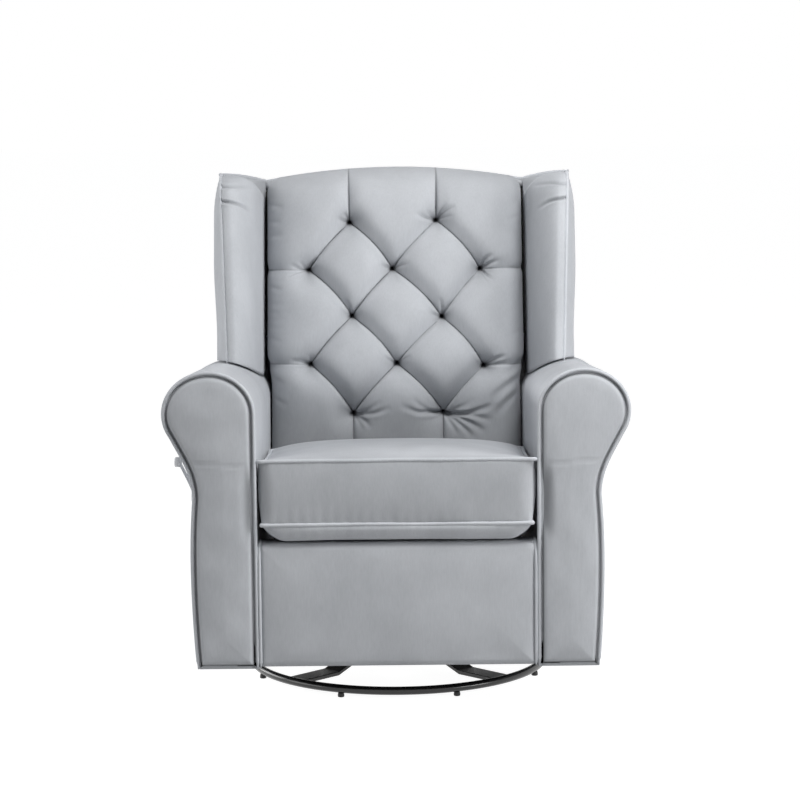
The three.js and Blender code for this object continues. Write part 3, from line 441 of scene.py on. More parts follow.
def cord_rings(path, radius, closed=False, sides=10):
    """Rings of a round cord along a path; an open cord tapers over its last three points."""
    path = np.asarray(path, float)
    if closed:
        tangent = np.roll(path, -1, axis=0) - np.roll(path, 1, axis=0)
    else:
        tangent = np.gradient(path, axis=0)
    tangent /= np.linalg.norm(tangent, axis=1, keepdims=True)
    up = np.array([0.0, 0.0, 1.0]) if abs(tangent[0][2]) < 0.9 else np.array([0.0, 1.0, 0.0])
    turns = np.linspace(0, 2 * math.pi, sides, endpoint=False)
    rings = []
    for i, place in enumerate(path):
        across = np.cross(tangent[i], up)
        across /= np.linalg.norm(across)
        up = np.cross(across, tangent[i])
        size = radius
        if not closed:
            size *= min(1, 0.35 + 0.65 * min(i, len(path) - 1 - i) / 3)
        rings.append([place + size * (across * math.cos(t) + up * math.sin(t)) for t in turns])
    return np.array(rings + rings[:1]) if closed else np.array(rings)


def make_welt(name, path, body, size=1.0, closed=False):
    """A covered cord, sewn into a seam."""
    radius = bpy.context.scene.recliner_cloth.welt_radius * size
    return make_piece(name, loft(cord_rings(path, radius, closed), capped=not closed), "welt", body)


# Finishes


def fill_in(node, values):
    """Sets or links a node's inputs, by name or number."""
    for key, value in values.items():
        if isinstance(value, bpy.types.NodeSocket):
            node.id_data.links.new(value, node.inputs[key])
        else:
            node.inputs[key].default_value = value


def add_node(tree, kind, inputs=None, **values):
    """A node with its properties set and its inputs linked or filled in."""
    node = tree.nodes.new(kind)
    for key, value in values.items():
        setattr(node, key, value)
    fill_in(node, inputs or {})
    return node


def new_group(name, inputs, outputs):
    """An empty shader node group with named number inputs and outputs."""
    group = bpy.data.node_groups.new(name, "ShaderNodeTree")
    for label, default in inputs.items():
        socket = group.interface.new_socket(label, in_out="INPUT", socket_type="NodeSocketFloat")
        socket.default_value = default
    for label in outputs:
        group.interface.new_socket(label, in_out="OUTPUT", socket_type="NodeSocketFloat")
    return group, group.nodes.new("NodeGroupInput").outputs, group.nodes.new("NodeGroupOutput")


def place_group(tree, group, **values):
    """The outputs of a shared effect placed in a material with its own values."""
    node = tree.nodes.new("ShaderNodeGroup")
    node.node_tree = group
    fill_in(node, values)
    return node.outputs


def noise_at(tree, scale, detail, stretch=(1, 1, 1), rough=0.5):
    """Noise over the object, stretched along an axis."""
    place = add_node(tree, "ShaderNodeTexCoord").outputs["Object"]
    stretched = add_node(tree, "ShaderNodeMapping", {"Vector": place, "Scale": stretch}).outputs["Vector"]
    inputs = {"Vector": stretched, "Scale": scale, "Detail": detail, "Roughness": rough}
    return add_node(tree, "ShaderNodeTexNoise", inputs).outputs["Fac"]


def math_node(tree, operation, first, second):
    """One sum on two values or sockets."""
    return add_node(tree, "ShaderNodeMath", {0: first, 1: second}, operation=operation).outputs[0]


def two_tones(tree, share, first, second):
    """A colour between two tones, each a socket or three numbers."""
    tones = [tone if isinstance(tone, bpy.types.NodeSocket) else (*tone, 1) for tone in (first, second)]
    return add_node(tree, "ShaderNodeMix", {0: share, 6: tones[0], 7: tones[1]}, data_type="RGBA").outputs[2]


def nap_group():
    """Brushed nap: fine streaks along the height, soft patches and short fibres."""
    group, given, result = new_group("Brushed Nap", {"Streak": 0.5, "Mottle": 0.5}, ("Shade", "Height"))
    streak = noise_at(group, 1, 3, (420, 420, 60), 0.6)
    patch = noise_at(group, 13, 4, (1, 1, 0.7), 0.6)
    fibre = noise_at(group, 1500, 2, (1, 1, 0.45), 0.6)
    shade = 0.5
    for noise, strength in ((streak, given["Streak"]), (patch, given["Mottle"]), (fibre, 0.5)):
        part = math_node(group, "MULTIPLY", math_node(group, "SUBTRACT", noise, 0.5), strength)
        shade = math_node(group, "ADD", shade, part)
    height = math_node(group, "ADD", math_node(group, "MULTIPLY", streak, 0.4), fibre)
    fill_in(result, {"Shade": shade, "Height": height})
    return group


def wear_group():
    """Surface grain and rubbed edges of metal and plastic."""
    group, given, result = new_group("Grain And Wear", {"Scale": 300, "Edge": 0.5}, ("Grain", "Worn"))
    place = add_node(group, "ShaderNodeTexCoord").outputs["Object"]
    grain = add_node(group, "ShaderNodeTexNoise", {"Vector": place, "Scale": given["Scale"], "Detail": 3})
    shape = add_node(group, "ShaderNodeNewGeometry").outputs["Pointiness"]
    edge = add_node(group, "ShaderNodeMapRange", {0: shape, 1: 0.52, 2: 0.62, 3: 0.0, 4: 1.0}, clamp=True)
    patchy = math_node(group, "MULTIPLY", edge.outputs[0], noise_at(group, 40, 2))
    worn = math_node(group, "MULTIPLY", patchy, given["Edge"])
    fill_in(result, {"Grain": grain.outputs["Fac"], "Worn": worn})
    return group


def wood_group():
    """Long grain of sawn timber."""
    group, _, result = new_group("Sawn Grain", {}, ("Figure", "Height"))
    wide = noise_at(group, 6, 4, (1, 14, 14), 0.6)
    fine = noise_at(group, 60, 3, (1, 16, 16), 0.6)
    parts = [math_node(group, "MULTIPLY", noise, share) for noise, share in ((wide, 0.75), (fine, 0.25))]
    fill_in(result, {"Figure": math_node(group, "ADD", *parts), "Height": fine})
    return group


def weave_group():
    """Crossed threads of a woven strap."""
    group, given, result = new_group("Woven Threads", {"Threads": 700}, ("Over", "Height"))
    place = add_node(group, "ShaderNodeTexCoord").outputs["Object"]
    parts = add_node(group, "ShaderNodeSeparateXYZ", {0: place}).outputs
    turns = [math_node(group, "MULTIPLY", parts[axis], given["Threads"]) for axis in (0, 1)]
    height = math_node(group, "MULTIPLY", *(math_node(group, "SINE", turn, 0) for turn in turns))
    over = math_node(group, "ADD", math_node(group, "MULTIPLY", height, 0.5), 0.5)
    fill_in(result, {"Over": over, "Height": height})
    return group


def new_finish(name, values):
    """A material, its node tree and its shader with plain values set."""
    material = bpy.data.materials.new(name)
    material.use_nodes = True
    shader = material.node_tree.nodes["Principled BSDF"]
    fill_in(shader, values)
    return material, material.node_tree, shader


def dress(shader, tone, height, strength, distance):
    """Links a colour and a fine relief to a shader."""
    inputs = {"Height": height, "Strength": strength, "Distance": distance}
    bump = add_node(shader.id_data, "ShaderNodeBump", inputs)
    fill_in(shader, {"Base Color": tone, "Normal": bump.outputs["Normal"]})


def velvet(name, groups, tone=1.0, relief=0.5):
    """Brushed velvet; tone lightens or darkens it as a whole, and painted shade from each piece's pinch
    attribute darkens it towards near-black.
    """
    cloth = bpy.context.scene.recliner_cloth
    values = {"Roughness": 0.92, "Specular IOR Level": 0.18}
    values |= {"Sheen Weight": 0.32, "Sheen Roughness": 0.42, "Sheen Tint": (0.93, 0.95, 1, 1)}
    material, tree, shader = new_finish(name, values)
    nap = place_group(tree, groups["nap"], Streak=cloth.streak, Mottle=cloth.mottle)
    dark, light = ([c * tone for c in shade] for shade in (cloth.dark, cloth.light))
    brushed = two_tones(tree, nap["Shade"], dark, light)
    # Painted shade: the pinch attribute mixes the nap towards near-black in folds, tufts and other shaded
    # places
    painted_shade = add_node(tree, "ShaderNodeAttribute", attribute_name="pinch").outputs["Fac"]
    with_painted_shade = two_tones(tree, painted_shade, brushed, [c * 0.06 for c in dark])
    dress(shader, with_painted_shade, nap["Height"], relief, 0.4 * MM)
    return material


def steel(name, groups, dark, light, rough, metallic, edge, coat=0.0, relief=0.12):
    """Painted or plated steel with fine grain and rubbed edges."""
    values = {"Metallic": metallic, "Coat Weight": coat, "Coat Roughness": 0.08}
    material, tree, shader = new_finish(name, values)
    wear = place_group(tree, groups["wear"], Scale=420.0, Edge=edge)
    worn = math_node(tree, "ADD", wear["Worn"], math_node(tree, "MULTIPLY", wear["Grain"], 0.25))
    spread = {0: wear["Grain"], 1: 0.0, 2: 1.0, 3: rough - 0.06, 4: rough + 0.08}
    fill_in(shader, {"Roughness": add_node(tree, "ShaderNodeMapRange", spread).outputs[0]})
    dress(shader, two_tones(tree, worn, dark, light), wear["Grain"], relief, 0.15 * MM)
    return material


def plastic(name, groups, dark, light, rough):
    """Moulded plastic with a fine spark texture."""
    material, tree, shader = new_finish(name, {"Roughness": rough})
    wear = place_group(tree, groups["wear"], Scale=1400.0, Edge=0.3)
    dress(shader, two_tones(tree, wear["Grain"], dark, light), wear["Grain"], 0.25, 0.1 * MM)
    return material


def timber(name, groups, dark, light):
    """Plain sawn hardwood, raw or stained."""
    material, tree, shader = new_finish(name, {"Roughness": 0.68})
    wood = place_group(tree, groups["wood"])
    dress(shader, two_tones(tree, wood["Figure"], dark, light), wood["Height"], 0.3, 0.3 * MM)
    return material


def strap(name, groups):
    """Black elastic webbing."""
    material, tree, shader = new_finish(name, {"Roughness": 0.85})
    weave = place_group(tree, groups["weave"], Threads=2600.0)
    tone = two_tones(tree, weave["Over"], (0.012, 0.012, 0.014), (0.06, 0.06, 0.066))
    dress(shader, tone, weave["Height"], 0.6, 0.4 * MM)
    return material


finishes = {}


def finish_of(name):
    """A finish by its name; the finishes are made once, on first use."""
    if not finishes:
        coat = tuple(bpy.context.scene.recliner_base.coat)
        groups = {"nap": nap_group(), "wear": wear_group(), "wood": wood_group(), "weave": weave_group()}
        finishes["velvet"] = velvet("Brushed Velvet", groups)
        finishes["welt"] = velvet("Velvet Welt", groups, 1.14, 0.2)
        rubbed = (0.016, 0.016, 0.017)
        finishes["gloss"] = steel("Gloss Black Tube", groups, coat, rubbed, 0.2, 0.0, 0.1, 0.2, 0.02)
        finishes["powder"] = steel("Black Powder Coat", groups, coat, (0.06, 0.06, 0.062), 0.42, 0.0, 0.5)
        finishes["zinc"] = steel("Zinc Plate", groups, (0.36, 0.37, 0.38), (0.62, 0.62, 0.63), 0.36, 1.0, 0.4)
        finishes["timber"] = timber("Sawn Timber", groups, (0.3, 0.17, 0.08), (0.56, 0.39, 0.22))
        # Near-black timber for the frame parts that show in the gaps between the pads: painted shade for
        # those gaps
        shade_tone = (0.008, 0.007, 0.006)
        finishes["painted_shade_timber"] = timber("Black Stained Timber", groups, shade_tone, (0.022, 0.019, 0.016))
        finishes["strap"] = strap("Elastic Webbing", groups)
        finishes["rubber"] = plastic("Glide Rubber", groups, (0.014, 0.014, 0.014), (0.03, 0.03, 0.03), 0.55)
        finishes["handle"] = plastic("Handle Plastic", groups, (0.74, 0.75, 0.77), (0.82, 0.83, 0.85), 0.45)
    return finishes[name]


# Arms


ARM_INNER, ARM_OUTER, ARM_WAIST, ARM_BELLY, ARM_FOOT = 0.256, 0.425, 0.3715, 0.377, 0.369
ARM_BOTTOM, ARM_TOP, ARM_REAR_TOP, ROLL_HEIGHT = 0.093, 0.644, 0.591, 0.566
ARM_MIDDLE, ARM_HALF = (ARM_INNER + ARM_OUTER) / 2, (ARM_OUTER - ARM_INNER) / 2
WAIST_HEIGHT, BELLY_HEIGHT = 0.412, 0.29
ARM_FRONT, ARM_REAR = -0.432, 0.235
ARM_FACE, ARM_EDGE = ARM_FRONT + 8.3 * MM, 4 * MM
ROLL_END = math.radians(-33)
NECK_PULL, WAIST_PULL = 0.038, 0.046
ARM_WAVE, ARM_WAVE_HEIGHT, ARM_PRESS = 0.17, 1.6 * MM, 0.6 * MM
PANEL_INSET, ARM_WELT_INSET, ARM_WELT_FOOT = 9.2 * MM, 2.7 * MM, 9 * MM
PANEL_SEAM, PANEL_SEAM_DEPTH, PANEL_SEAM_WIDTH = 0.474, 1.2 * MM, 2.4 * MM
PANEL_DENT, PANEL_DENT_SIZE, PANEL_DENT_DEPTH = (0.271, 0.4), (9.5 * MM, 60 * MM), 9 * MM
# The panel's bulge reach, and the strength and width of the painted shade line in its groove
PANEL_BULGE_REACH, PANEL_EDGE_SHADE, PANEL_EDGE_WIDTH = 26 * MM, 0.85, 1.8 * MM
PANEL_WAVE, PANEL_WAVE_HEIGHT = 0.1, 2.2 * MM


def curve_points(start, controls, end, count):
    """Points of a curve with one or two controls, without its start."""
    points = [np.asarray(point, float) for point in (start, *controls, end)]
    last = len(points) - 1
    share = np.linspace(0, 1, count + 1)[1:, None]
    return sum(math.comb(last, i) * (1 - share) ** (last - i) * share**i * points[i] for i in range(last + 1))


def arm_outline(count=220):
    """The keyhole outline of the left arm in the XZ plane, counter-clockwise seen from the front."""
    turns = np.linspace(math.pi, ROLL_END, 60)
    high = ARM_TOP - ROLL_HEIGHT
    roll = np.stack([ARM_MIDDLE + ARM_HALF * np.cos(turns), ROLL_HEIGHT + high * np.sin(turns)], axis=1)
    end = roll[-1]
    waist, belly = (ARM_WAIST, WAIST_HEIGHT), (ARM_BELLY, BELLY_HEIGHT)
    heel, foot = (ARM_INNER, ARM_BOTTOM), (ARM_FOOT, ARM_BOTTOM)
    pull = (end[0] - NECK_PULL / 2, end[1] - NECK_PULL)
    neck = curve_points(end, (pull, (ARM_WAIST, WAIST_HEIGHT + WAIST_PULL)), waist, 24)
    upper = curve_points(waist, ((ARM_BELLY, (WAIST_HEIGHT + BELLY_HEIGHT) / 2),), belly, 16)
    lower = curve_points(belly, ((ARM_BELLY, (BELLY_HEIGHT + ARM_BOTTOM) / 2),), foot, 20)
    inner = np.linspace(heel, (ARM_INNER, ROLL_HEIGHT), 30)[:-1]
    bottom = np.linspace(foot, heel, 12)[1:-1]
    outline = np.vstack([inner, roll, neck, upper, lower, bottom])
    return resample(outline, count, closed=True)[::-1]


def arm_fall(y):
    """How far the roll has sunk at a depth."""
    return (ARM_TOP - ARM_REAR_TOP) * (y - ARM_FRONT) / (ARM_REAR - ARM_FRONT)


def arm_ring(outline, y):
    """The outline placed at a depth, with its roll sunk towards the rear."""
    share = np.clip((outline[:, 1] - BELLY_HEIGHT) / (ROLL_HEIGHT - BELLY_HEIGHT), 0, 1)
    return np.stack([outline[:, 0], np.full(len(outline), y), outline[:, 1] - arm_fall(y) * share], axis=1)


def arm_end(outline, y, way):
    """Rings that round the arm's edge at one of its ends; way is 1 in front and -1 behind."""
    rings = []
    for turn in np.linspace(0, math.pi / 2, 6):
        inset = ARM_EDGE * (1 - math.sin(turn))
        rings.append(arm_ring(inset_line(outline, inset), y + way * ARM_EDGE * (1 - math.cos(turn))))
    return rings


def scan_outline(outline, rows):
    """The left and right ends of the outline at each height."""
    before, after = outline, np.roll(outline, -1, axis=0)
    lows, highs = np.empty((2, len(rows)))
    rows = np.clip(rows, outline[:, 1].min() + 1e-6, outline[:, 1].max() - 1e-6)
    for i, height in enumerate(rows):
        crossing = (before[:, 1] - height) * (after[:, 1] - height) <= 0
        crossing &= before[:, 1] != after[:, 1]
        start, end = before[crossing], after[crossing]
        share = (height - start[:, 1]) / (end[:, 1] - start[:, 1])
        across = start[:, 0] + share * (end[:, 0] - start[:, 0])
        lows[i], highs[i] = across.min(), across.max()
    return lows, highs


def build_arm_body(side, sign, seed, outline):
    """The arm's padded body, wavy outside and plain beside the seat."""
    rings = [arm_ring(inset_line(outline, inset * MM), ARM_FACE) for inset in (40, 24, 15)]
    rings += arm_end(outline, ARM_FACE, 1)
    stations = np.linspace(ARM_FACE + 2 * ARM_EDGE, ARM_REAR - 2 * ARM_EDGE, 56)
    rings += [arm_ring(outline, y) for y in stations]
    rings += arm_end(outline, ARM_REAR, -1)[::-1]
    arm = make_pad(f"arm_{side}", mirrored(loft(rings), sign), "chair", f"arm_pad_{side}")
    places, normals = mesh_normals(arm)
    away = ease(places[:, 1], ARM_FRONT + 30 * MM, ARM_FRONT + 120 * MM)
    soft = ripple(places, ARM_WAVE, seed) * ARM_WAVE_HEIGHT
    inner = np.clip(-normals[:, 0] * sign, 0, 1)
    top = np.clip(normals[:, 2], 0, 1) * ease(places[:, 2], 0.5, ROLL_HEIGHT - 6 * MM)
    push(arm, away * (soft * np.clip(1 - inner, 0, 1) * (0.4 + top) - ARM_PRESS * inner))


def build_arm_panel(side, sign, seed, outline):
    """The arm's front panel, over scan lines of its own outline down to the foot."""
    arms = bpy.context.scene.recliner_arms
    border = inset_line(outline, PANEL_INSET)
    border[border[:, 1] < border[:, 1].min() + 1 * MM, 1] = ARM_BOTTOM + 0.5 * MM
    rows = (crowd(150, 0.42) + 1) / 2 * np.ptp(border[:, 1]) + border[:, 1].min()
    lows, highs = scan_outline(border, rows)
    columns = (crowd(64) + 1) / 2
    x = lows[:, None] + (highs - lows)[:, None] * columns
    z = np.repeat(rows[:, None], len(columns), axis=1)
    flat = np.stack([x.ravel(), z.ravel()], axis=1)
    depth, _, _ = distance_to(flat, np.vstack([border, border[:1]]), 1)
    rise = arms.groove - round_edge(depth, arms.groove)
    rise += arms.bulge * (1 - np.exp(-depth / PANEL_BULGE_REACH))
    seam = np.abs(flat[:, 1] - (PANEL_SEAM + 3 * MM * np.sin(flat[:, 0] * 40)))
    rise -= PANEL_SEAM_DEPTH * fold(seam, PANEL_SEAM_WIDTH) * ease(depth, 2 * MM, 14 * MM)
    off_x, off_z = ((flat - PANEL_DENT) / PANEL_DENT_SIZE).T
    dent = bell(np.hypot(off_x, off_z**2), 1)
    rise -= PANEL_DENT_DEPTH * dent
    rise += ripple(flat, PANEL_WAVE, seed) * PANEL_WAVE_HEIGHT * ease(depth, 4 * MM, 30 * MM)
    front = np.stack([flat[:, 0], ARM_FRONT + 6.5 * MM - rise, flat[:, 1]], axis=1)
    behind = np.stack([flat[:, 0], np.full(len(flat), ARM_FACE - 0.2 * MM), flat[:, 1]], axis=1)
    skin = mirrored(closed_pad(front, behind, *x.shape), sign)
    panel = make_pad(f"arm_front_panel_{side}", skin, "chair", f"arm_front_{side}", merge=False)
    # Painted shade: a dark line in the groove round the panel and a soft shade in the dent on its inner side
    paint_shade(panel, np.maximum(PANEL_EDGE_SHADE * bell(depth, PANEL_EDGE_WIDTH), 0.45 * dent))


def build_arm_welt(side, sign, outline):
    """The welt round the arm's front, open along the foot."""
    path = resample(inset_line(outline, ARM_WELT_INSET), 400, closed=True)
    foot = path[:, 1] < ARM_BOTTOM + ARM_WELT_FOOT
    first = int(np.flatnonzero(foot & ~np.roll(foot, -1))[0])
    path = np.roll(path, -first - 1, axis=0)
    path = path[: int(np.flatnonzero(path[:, 1] < ARM_BOTTOM + ARM_WELT_FOOT)[0])]
    ends = path[[0, -1]] * [1, 0] + [0, ARM_BOTTOM + 1.5 * MM]
    path = np.vstack([ends[:1], path, ends[1:]])
    trail = np.stack([path[:, 0], np.full(len(path), ARM_FRONT + 7 * MM), path[:, 1]], axis=1)
    make_welt(f"arm_welt_{side}", mirror_x(trail, sign), "chair")


class RECLINER_OT_arms(Operator):
    """Builds both rolled arms with their front panels and welts"""

    bl_idname = "recliner.arms"
    bl_label = "Arms"

    def execute(self, context):
        outline = arm_outline()
        for (side, sign), seed in zip(SIDES, (11, 12)):
            build_arm_body(side, sign, seed, outline)
            build_arm_panel(side, sign, seed + 1, outline)
            build_arm_welt(side, sign, outline)
        return {"FINISHED"}


# Seat cushion


SEAT_FRONT, SEAT_REAR, SEAT_HALF, SEAT_BOTTOM = -0.437, 0.062, 0.2554, 0.331
SEAT_WELT_LOW, SEAT_WELT_HIGH = 0.032, 0.1485
SEAT_MIDDLE = (SEAT_WELT_LOW + SEAT_WELT_HIGH) / 2
# Shares of the full size at the foot, where the sides begin and end, and at the top's welt
SEAT_TAPER, SEAT_BORDER, SEAT_TOP = 0.962, 0.985, 0.982
SEAT_EDGE, SEAT_CORNER, SEAT_DRAW = 24 * MM, 20 * MM, 4 * MM
SEAT_WAVE, SEAT_WAVE_HEIGHT = 0.14, 1.5 * MM
# The gathers fade with the distance from each welt and leave the welts themselves smooth
GATHER_WAVE, LOW_GATHERS, HIGH_GATHERS, WELT_CLEAR = 24 * MM, 17 * MM, 11 * MM, (1 * MM, 6 * MM)
# How far back from its front the cushion hangs over the legrest
OVERHANG_START, OVERHANG_END = 45 * MM, 75 * MM
SEAT_TUCK, SEAT_TUCK_WIDE = 16 * MM, 52 * MM
# Strength of the painted shade on the seat cushion's front face
SEAT_FRONT_SHADE = 0.16


def corner_ring(half_wide, half_deep, corner, draw_in, height, ear=0.0):
    """A rounded rectangle, drawn in along its sides and poked out at its corners."""
    middles = np.array([(1, 1), (-1, 1), (-1, -1), (1, -1)]) * [half_wide - corner, half_deep - corner]
    bend = np.linspace(0, math.pi / 2, 10)
    size = corner + ear * np.maximum(0, np.sin(2 * bend)) ** 6
    along = np.linspace(0, 1, 130)[1:-1, None]
    parts = []
    for quarter in range(4):
        turns = bend + quarter * math.pi / 2
        out = np.column_stack([np.cos(turns), np.sin(turns)])
        parts.append(middles[quarter] + size[:, None] * out)
        start, end = (middles[i % 4] + corner * out[-1] for i in (quarter, quarter + 1))
        parts.append(start + (end - start) * along - out[-1] * draw_in * np.sin(along * math.pi))
    points = np.vstack(parts)
    return np.column_stack([points, np.full(len(points), height)])


def seat_half_deep():
    """Half the cushion's depth along its own slope."""
    tilt = bpy.context.scene.recliner_seat.tilt
    level = SEAT_REAR - SEAT_FRONT - (SEAT_WELT_HIGH - SEAT_MIDDLE) * math.sin(tilt)
    return level / (2 * math.cos(tilt))


def seat_place(points):
    """Lets the sides fall towards the rear, then tilts the flat cushion and sets it on the seat."""
    seat = bpy.context.scene.recliner_seat
    rise, run = math.sin(seat.tilt), math.cos(seat.tilt)
    x, y, z = points[:, 0], points[:, 1] + seat_half_deep(), points[:, 2]
    fall = (np.abs(x) / SEAT_HALF) ** 2.5 * ease(y, 0, 90 * MM)
    z = z - seat.fall * fall * ease(z, SEAT_WELT_LOW, SEAT_WELT_HIGH)
    lift = SEAT_MIDDLE * rise * rise / run
    placed_y = y * run + z * rise + SEAT_FRONT - SEAT_MIDDLE * rise
    return np.column_stack([x, placed_y, z * run - y * rise + SEAT_BOTTOM + lift])


def seat_rings(seat, half_deep):
    """Rings of the flat cushion, from the middle of its underside to the middle of its top."""
    foot_half, foot_deep = SEAT_HALF * SEAT_TAPER, half_deep * SEAT_BORDER
    rings = []
    for share in (0.1, 0.3, 0.5, 0.7, 0.85, 0.95):
        inset = SEAT_EDGE + (SEAT_HALF * SEAT_BORDER - SEAT_EDGE) * (1 - share)
        deep = (foot_deep - SEAT_EDGE) * share
        rings.append(corner_ring(foot_half - inset, deep, SEAT_CORNER * share, 0, 0))
    for turn in np.linspace(0, math.pi / 2, 9)[:-1]:
        inset = SEAT_EDGE * (1 - math.sin(turn))
        rise = SEAT_WELT_LOW * (1 - math.cos(turn))
        rings.append(corner_ring(foot_half - inset, foot_deep - inset, SEAT_EDGE, 0, rise))
    deep = half_deep * SEAT_TOP
    rings.append(corner_ring(foot_half, deep, SEAT_CORNER, SEAT_DRAW, SEAT_WELT_LOW, seat.ear * 1.5))
    for share in np.linspace(0, 1, 44)[1:-1]:
        bulge = math.sin(share * math.pi) ** 0.7
        size = SEAT_BORDER + (1 - SEAT_BORDER) * bulge
        wide = SEAT_HALF * (size - (SEAT_BORDER - SEAT_TAPER) * (1 - share) ** 1.5)
        corner, ear = SEAT_CORNER + 12 * MM * bulge, seat.ear * (1 - bulge) ** 2
        height = SEAT_WELT_LOW + (SEAT_WELT_HIGH - SEAT_WELT_LOW) * share
        rings.append(corner_ring(wide, half_deep * size, corner, SEAT_DRAW * (1 - bulge), height, ear))
    rings.append(corner_ring(SEAT_HALF * SEAT_TOP, deep, SEAT_CORNER, SEAT_DRAW, SEAT_WELT_HIGH, seat.ear))
    for share in np.linspace(1, 0.04, 22)[1:]:
        height = SEAT_WELT_HIGH + seat.crown * (1 - share**3.2) ** 0.62
        wide = SEAT_HALF * SEAT_TOP * share
        rings.append(corner_ring(wide, deep * share, 25 * MM * share, SEAT_DRAW * share, height))
    return rings


def gather_seat(cushion, pucker, half_deep, seed):
    """Gathers along the welts and soft waves over the faces."""
    places, normals = mesh_normals(cushion)
    around = np.arctan2(places[:, 1] / half_deep, places[:, 0] / SEAT_HALF)
    along = np.where(np.abs(normals[:, 1]) > 0.6, places[:, 0], places[:, 1])
    side = 1 - np.clip(np.abs(normals[:, 2]), 0, 1)
    above, under = places[:, 2] - SEAT_WELT_LOW, SEAT_WELT_HIGH - places[:, 2]
    low = np.where(above > 0, np.exp(-np.clip(above, 0, 1) / LOW_GATHERS), 0.35)
    high = np.exp(-np.clip(under, 0, 1) / HIGH_GATHERS)
    off_welt = ease(np.abs(above), *WELT_CLEAR) * ease(np.abs(under), *WELT_CLEAR)
    waves = ripple(np.column_stack([along, around * 0.02]), GATHER_WAVE, seed)
    gathers = waves * pucker * side * (low + 0.4 * high) * off_welt
    push(cushion, gathers + ripple(places, SEAT_WAVE, seed + 1) * SEAT_WAVE_HEIGHT * off_welt)


class RECLINER_OT_seat_cushion(Operator):
    """Builds the welted seat cushion with its crowned top"""

    bl_idname = "recliner.seat_cushion"
    bl_label = "Seat cushion"

    def execute(self, context):
        seat, seed = context.scene.recliner_seat, context.scene.recliner_cloth.seed
        half_deep = seat_half_deep()
        cushion = make_pad("seat_pad", loft(seat_rings(seat, half_deep)), "chair", "seat_cushion")
        gather_seat(cushion, seat.pucker, half_deep, seed)

        # The front hangs over the legrest: drawn up in its middle and tucked in at its corners
        places, _ = mesh_normals(cushion)
        out = np.abs(places[:, 0])
        overhang = 1 - ease(places[:, 1], OVERHANG_START - half_deep, OVERHANG_END - half_deep)
        below = 1 - ease(places[:, 2], 0, SEAT_WELT_LOW * 1.5)
        places[:, 2] += seat.lift * overhang * (1 - (out / SEAT_HALF) ** 4) * below
        tucked = overhang * ease(out, SEAT_HALF - SEAT_TUCK_WIDE, SEAT_HALF) * SEAT_TUCK
        places[:, 2] += tucked * np.clip(1 - places[:, 2] / SEAT_WELT_LOW, 0, 1)
        height = places[:, 2].copy()
        move_to(cushion, seat_place(places))
        # Painted shade darkens the faces that look forward, above the low welt
        facing = np.clip(-mesh_normals(cushion)[1][:, 1], 0, 1)
        shade = SEAT_FRONT_SHADE * facing * ease(height, SEAT_WELT_LOW, SEAT_WELT_LOW + 4 * MM)
        paint_shade(cushion, shade)

        welts = (("seat_welt_low", SEAT_WELT_LOW, SEAT_TAPER), ("seat_welt_high", SEAT_WELT_HIGH, SEAT_TOP))
        for name, height, size in welts:
            wide, deep = SEAT_HALF * (size + 0.002), half_deep * (SEAT_TOP + 0.002)
            ring = corner_ring(wide, deep, 18 * MM, SEAT_DRAW, height, seat.ear * 1.25)
            ring[:, 2] += ripple(ring[:, :2], 0.2, len(name)) * 0.8 * MM
            make_welt(name, resample(seat_place(ring), 360, closed=True), "chair", closed=True)
        return {"FINISHED"}


# Legrest pad


LEGREST_FRONT, LEGREST_HALF, LEGREST_THICK = -0.432, 0.2548, 0.062
LEGREST_BOTTOM, LEGREST_TOP = 0.0955, 0.325
LEGREST_WAVE, LEGREST_WAVE_HEIGHT = 0.13, 2 * MM


class RECLINER_OT_legrest(Operator):
    """Builds the legrest pad with its welted front"""

    bl_idname = "recliner.legrest_pad"
    bl_label = "Legrest pad"

    def execute(self, context):
        legrest = context.scene.recliner_legrest
        across, up = crowd(150, 0.42), crowd(90, 0.42)
        half_high = (LEGREST_TOP - LEGREST_BOTTOM) / 2
        x, z = grid_over(across * LEGREST_HALF, up * half_high)
        off_side, off_end = LEGREST_HALF - np.abs(x), half_high - np.abs(z)
        depth = np.minimum(off_side, off_end)
        crown = legrest.crown * (1 - np.exp(-depth / (30 * MM)))
        blend = np.hypot(np.clip(legrest.edge - off_side, 0, 1), np.clip(legrest.edge - off_end, 0, 1))
        depth = np.where(blend > 0, np.maximum(legrest.edge - blend, 0), depth)
        waves = ripple(np.stack([x, z], axis=1), LEGREST_WAVE, 31) * LEGREST_WAVE_HEIGHT
        fall = round_edge(depth, legrest.edge) - crown - waves * ease(depth, 4 * MM, 30 * MM)
        height = z + (LEGREST_TOP + LEGREST_BOTTOM) / 2
        outer = np.stack([x, LEGREST_FRONT + legrest.crown + fall, height], axis=1)
        inner = np.stack([x, np.full(len(x), LEGREST_FRONT + LEGREST_THICK), height], axis=1)
        skin = closed_pad(outer, inner, len(up), len(across))
        make_pad("legrest_pad", skin, "legrest_panel", "legrest_cushion")

        # Welts down both front edges, tucked over the top
        front = LEGREST_FRONT + 8.5 * MM
        over = LEGREST_TOP - 0.5 * MM
        line = [(front, LEGREST_BOTTOM + 1 * MM), (front - 2 * MM, 0.13), (front - 2.5 * MM, 0.2)]
        line += [(front - 2 * MM, 0.284), (front + 0.5 * MM, 0.309), (front + 7 * MM, 0.321)]
        line += [(front + 22 * MM, over), (LEGREST_FRONT + LEGREST_THICK - 4 * MM, over)]
        path = resample(spline(line, 6), 90)
        for side, sign in SIDES:
            trail = np.column_stack([np.full(len(path), sign * (LEGREST_HALF - 2.2 * MM)), path])
            make_welt(f"legrest_welt_{side}", trail, "legrest_panel", 0.85)
        return {"FINISHED"}


# Tufted back


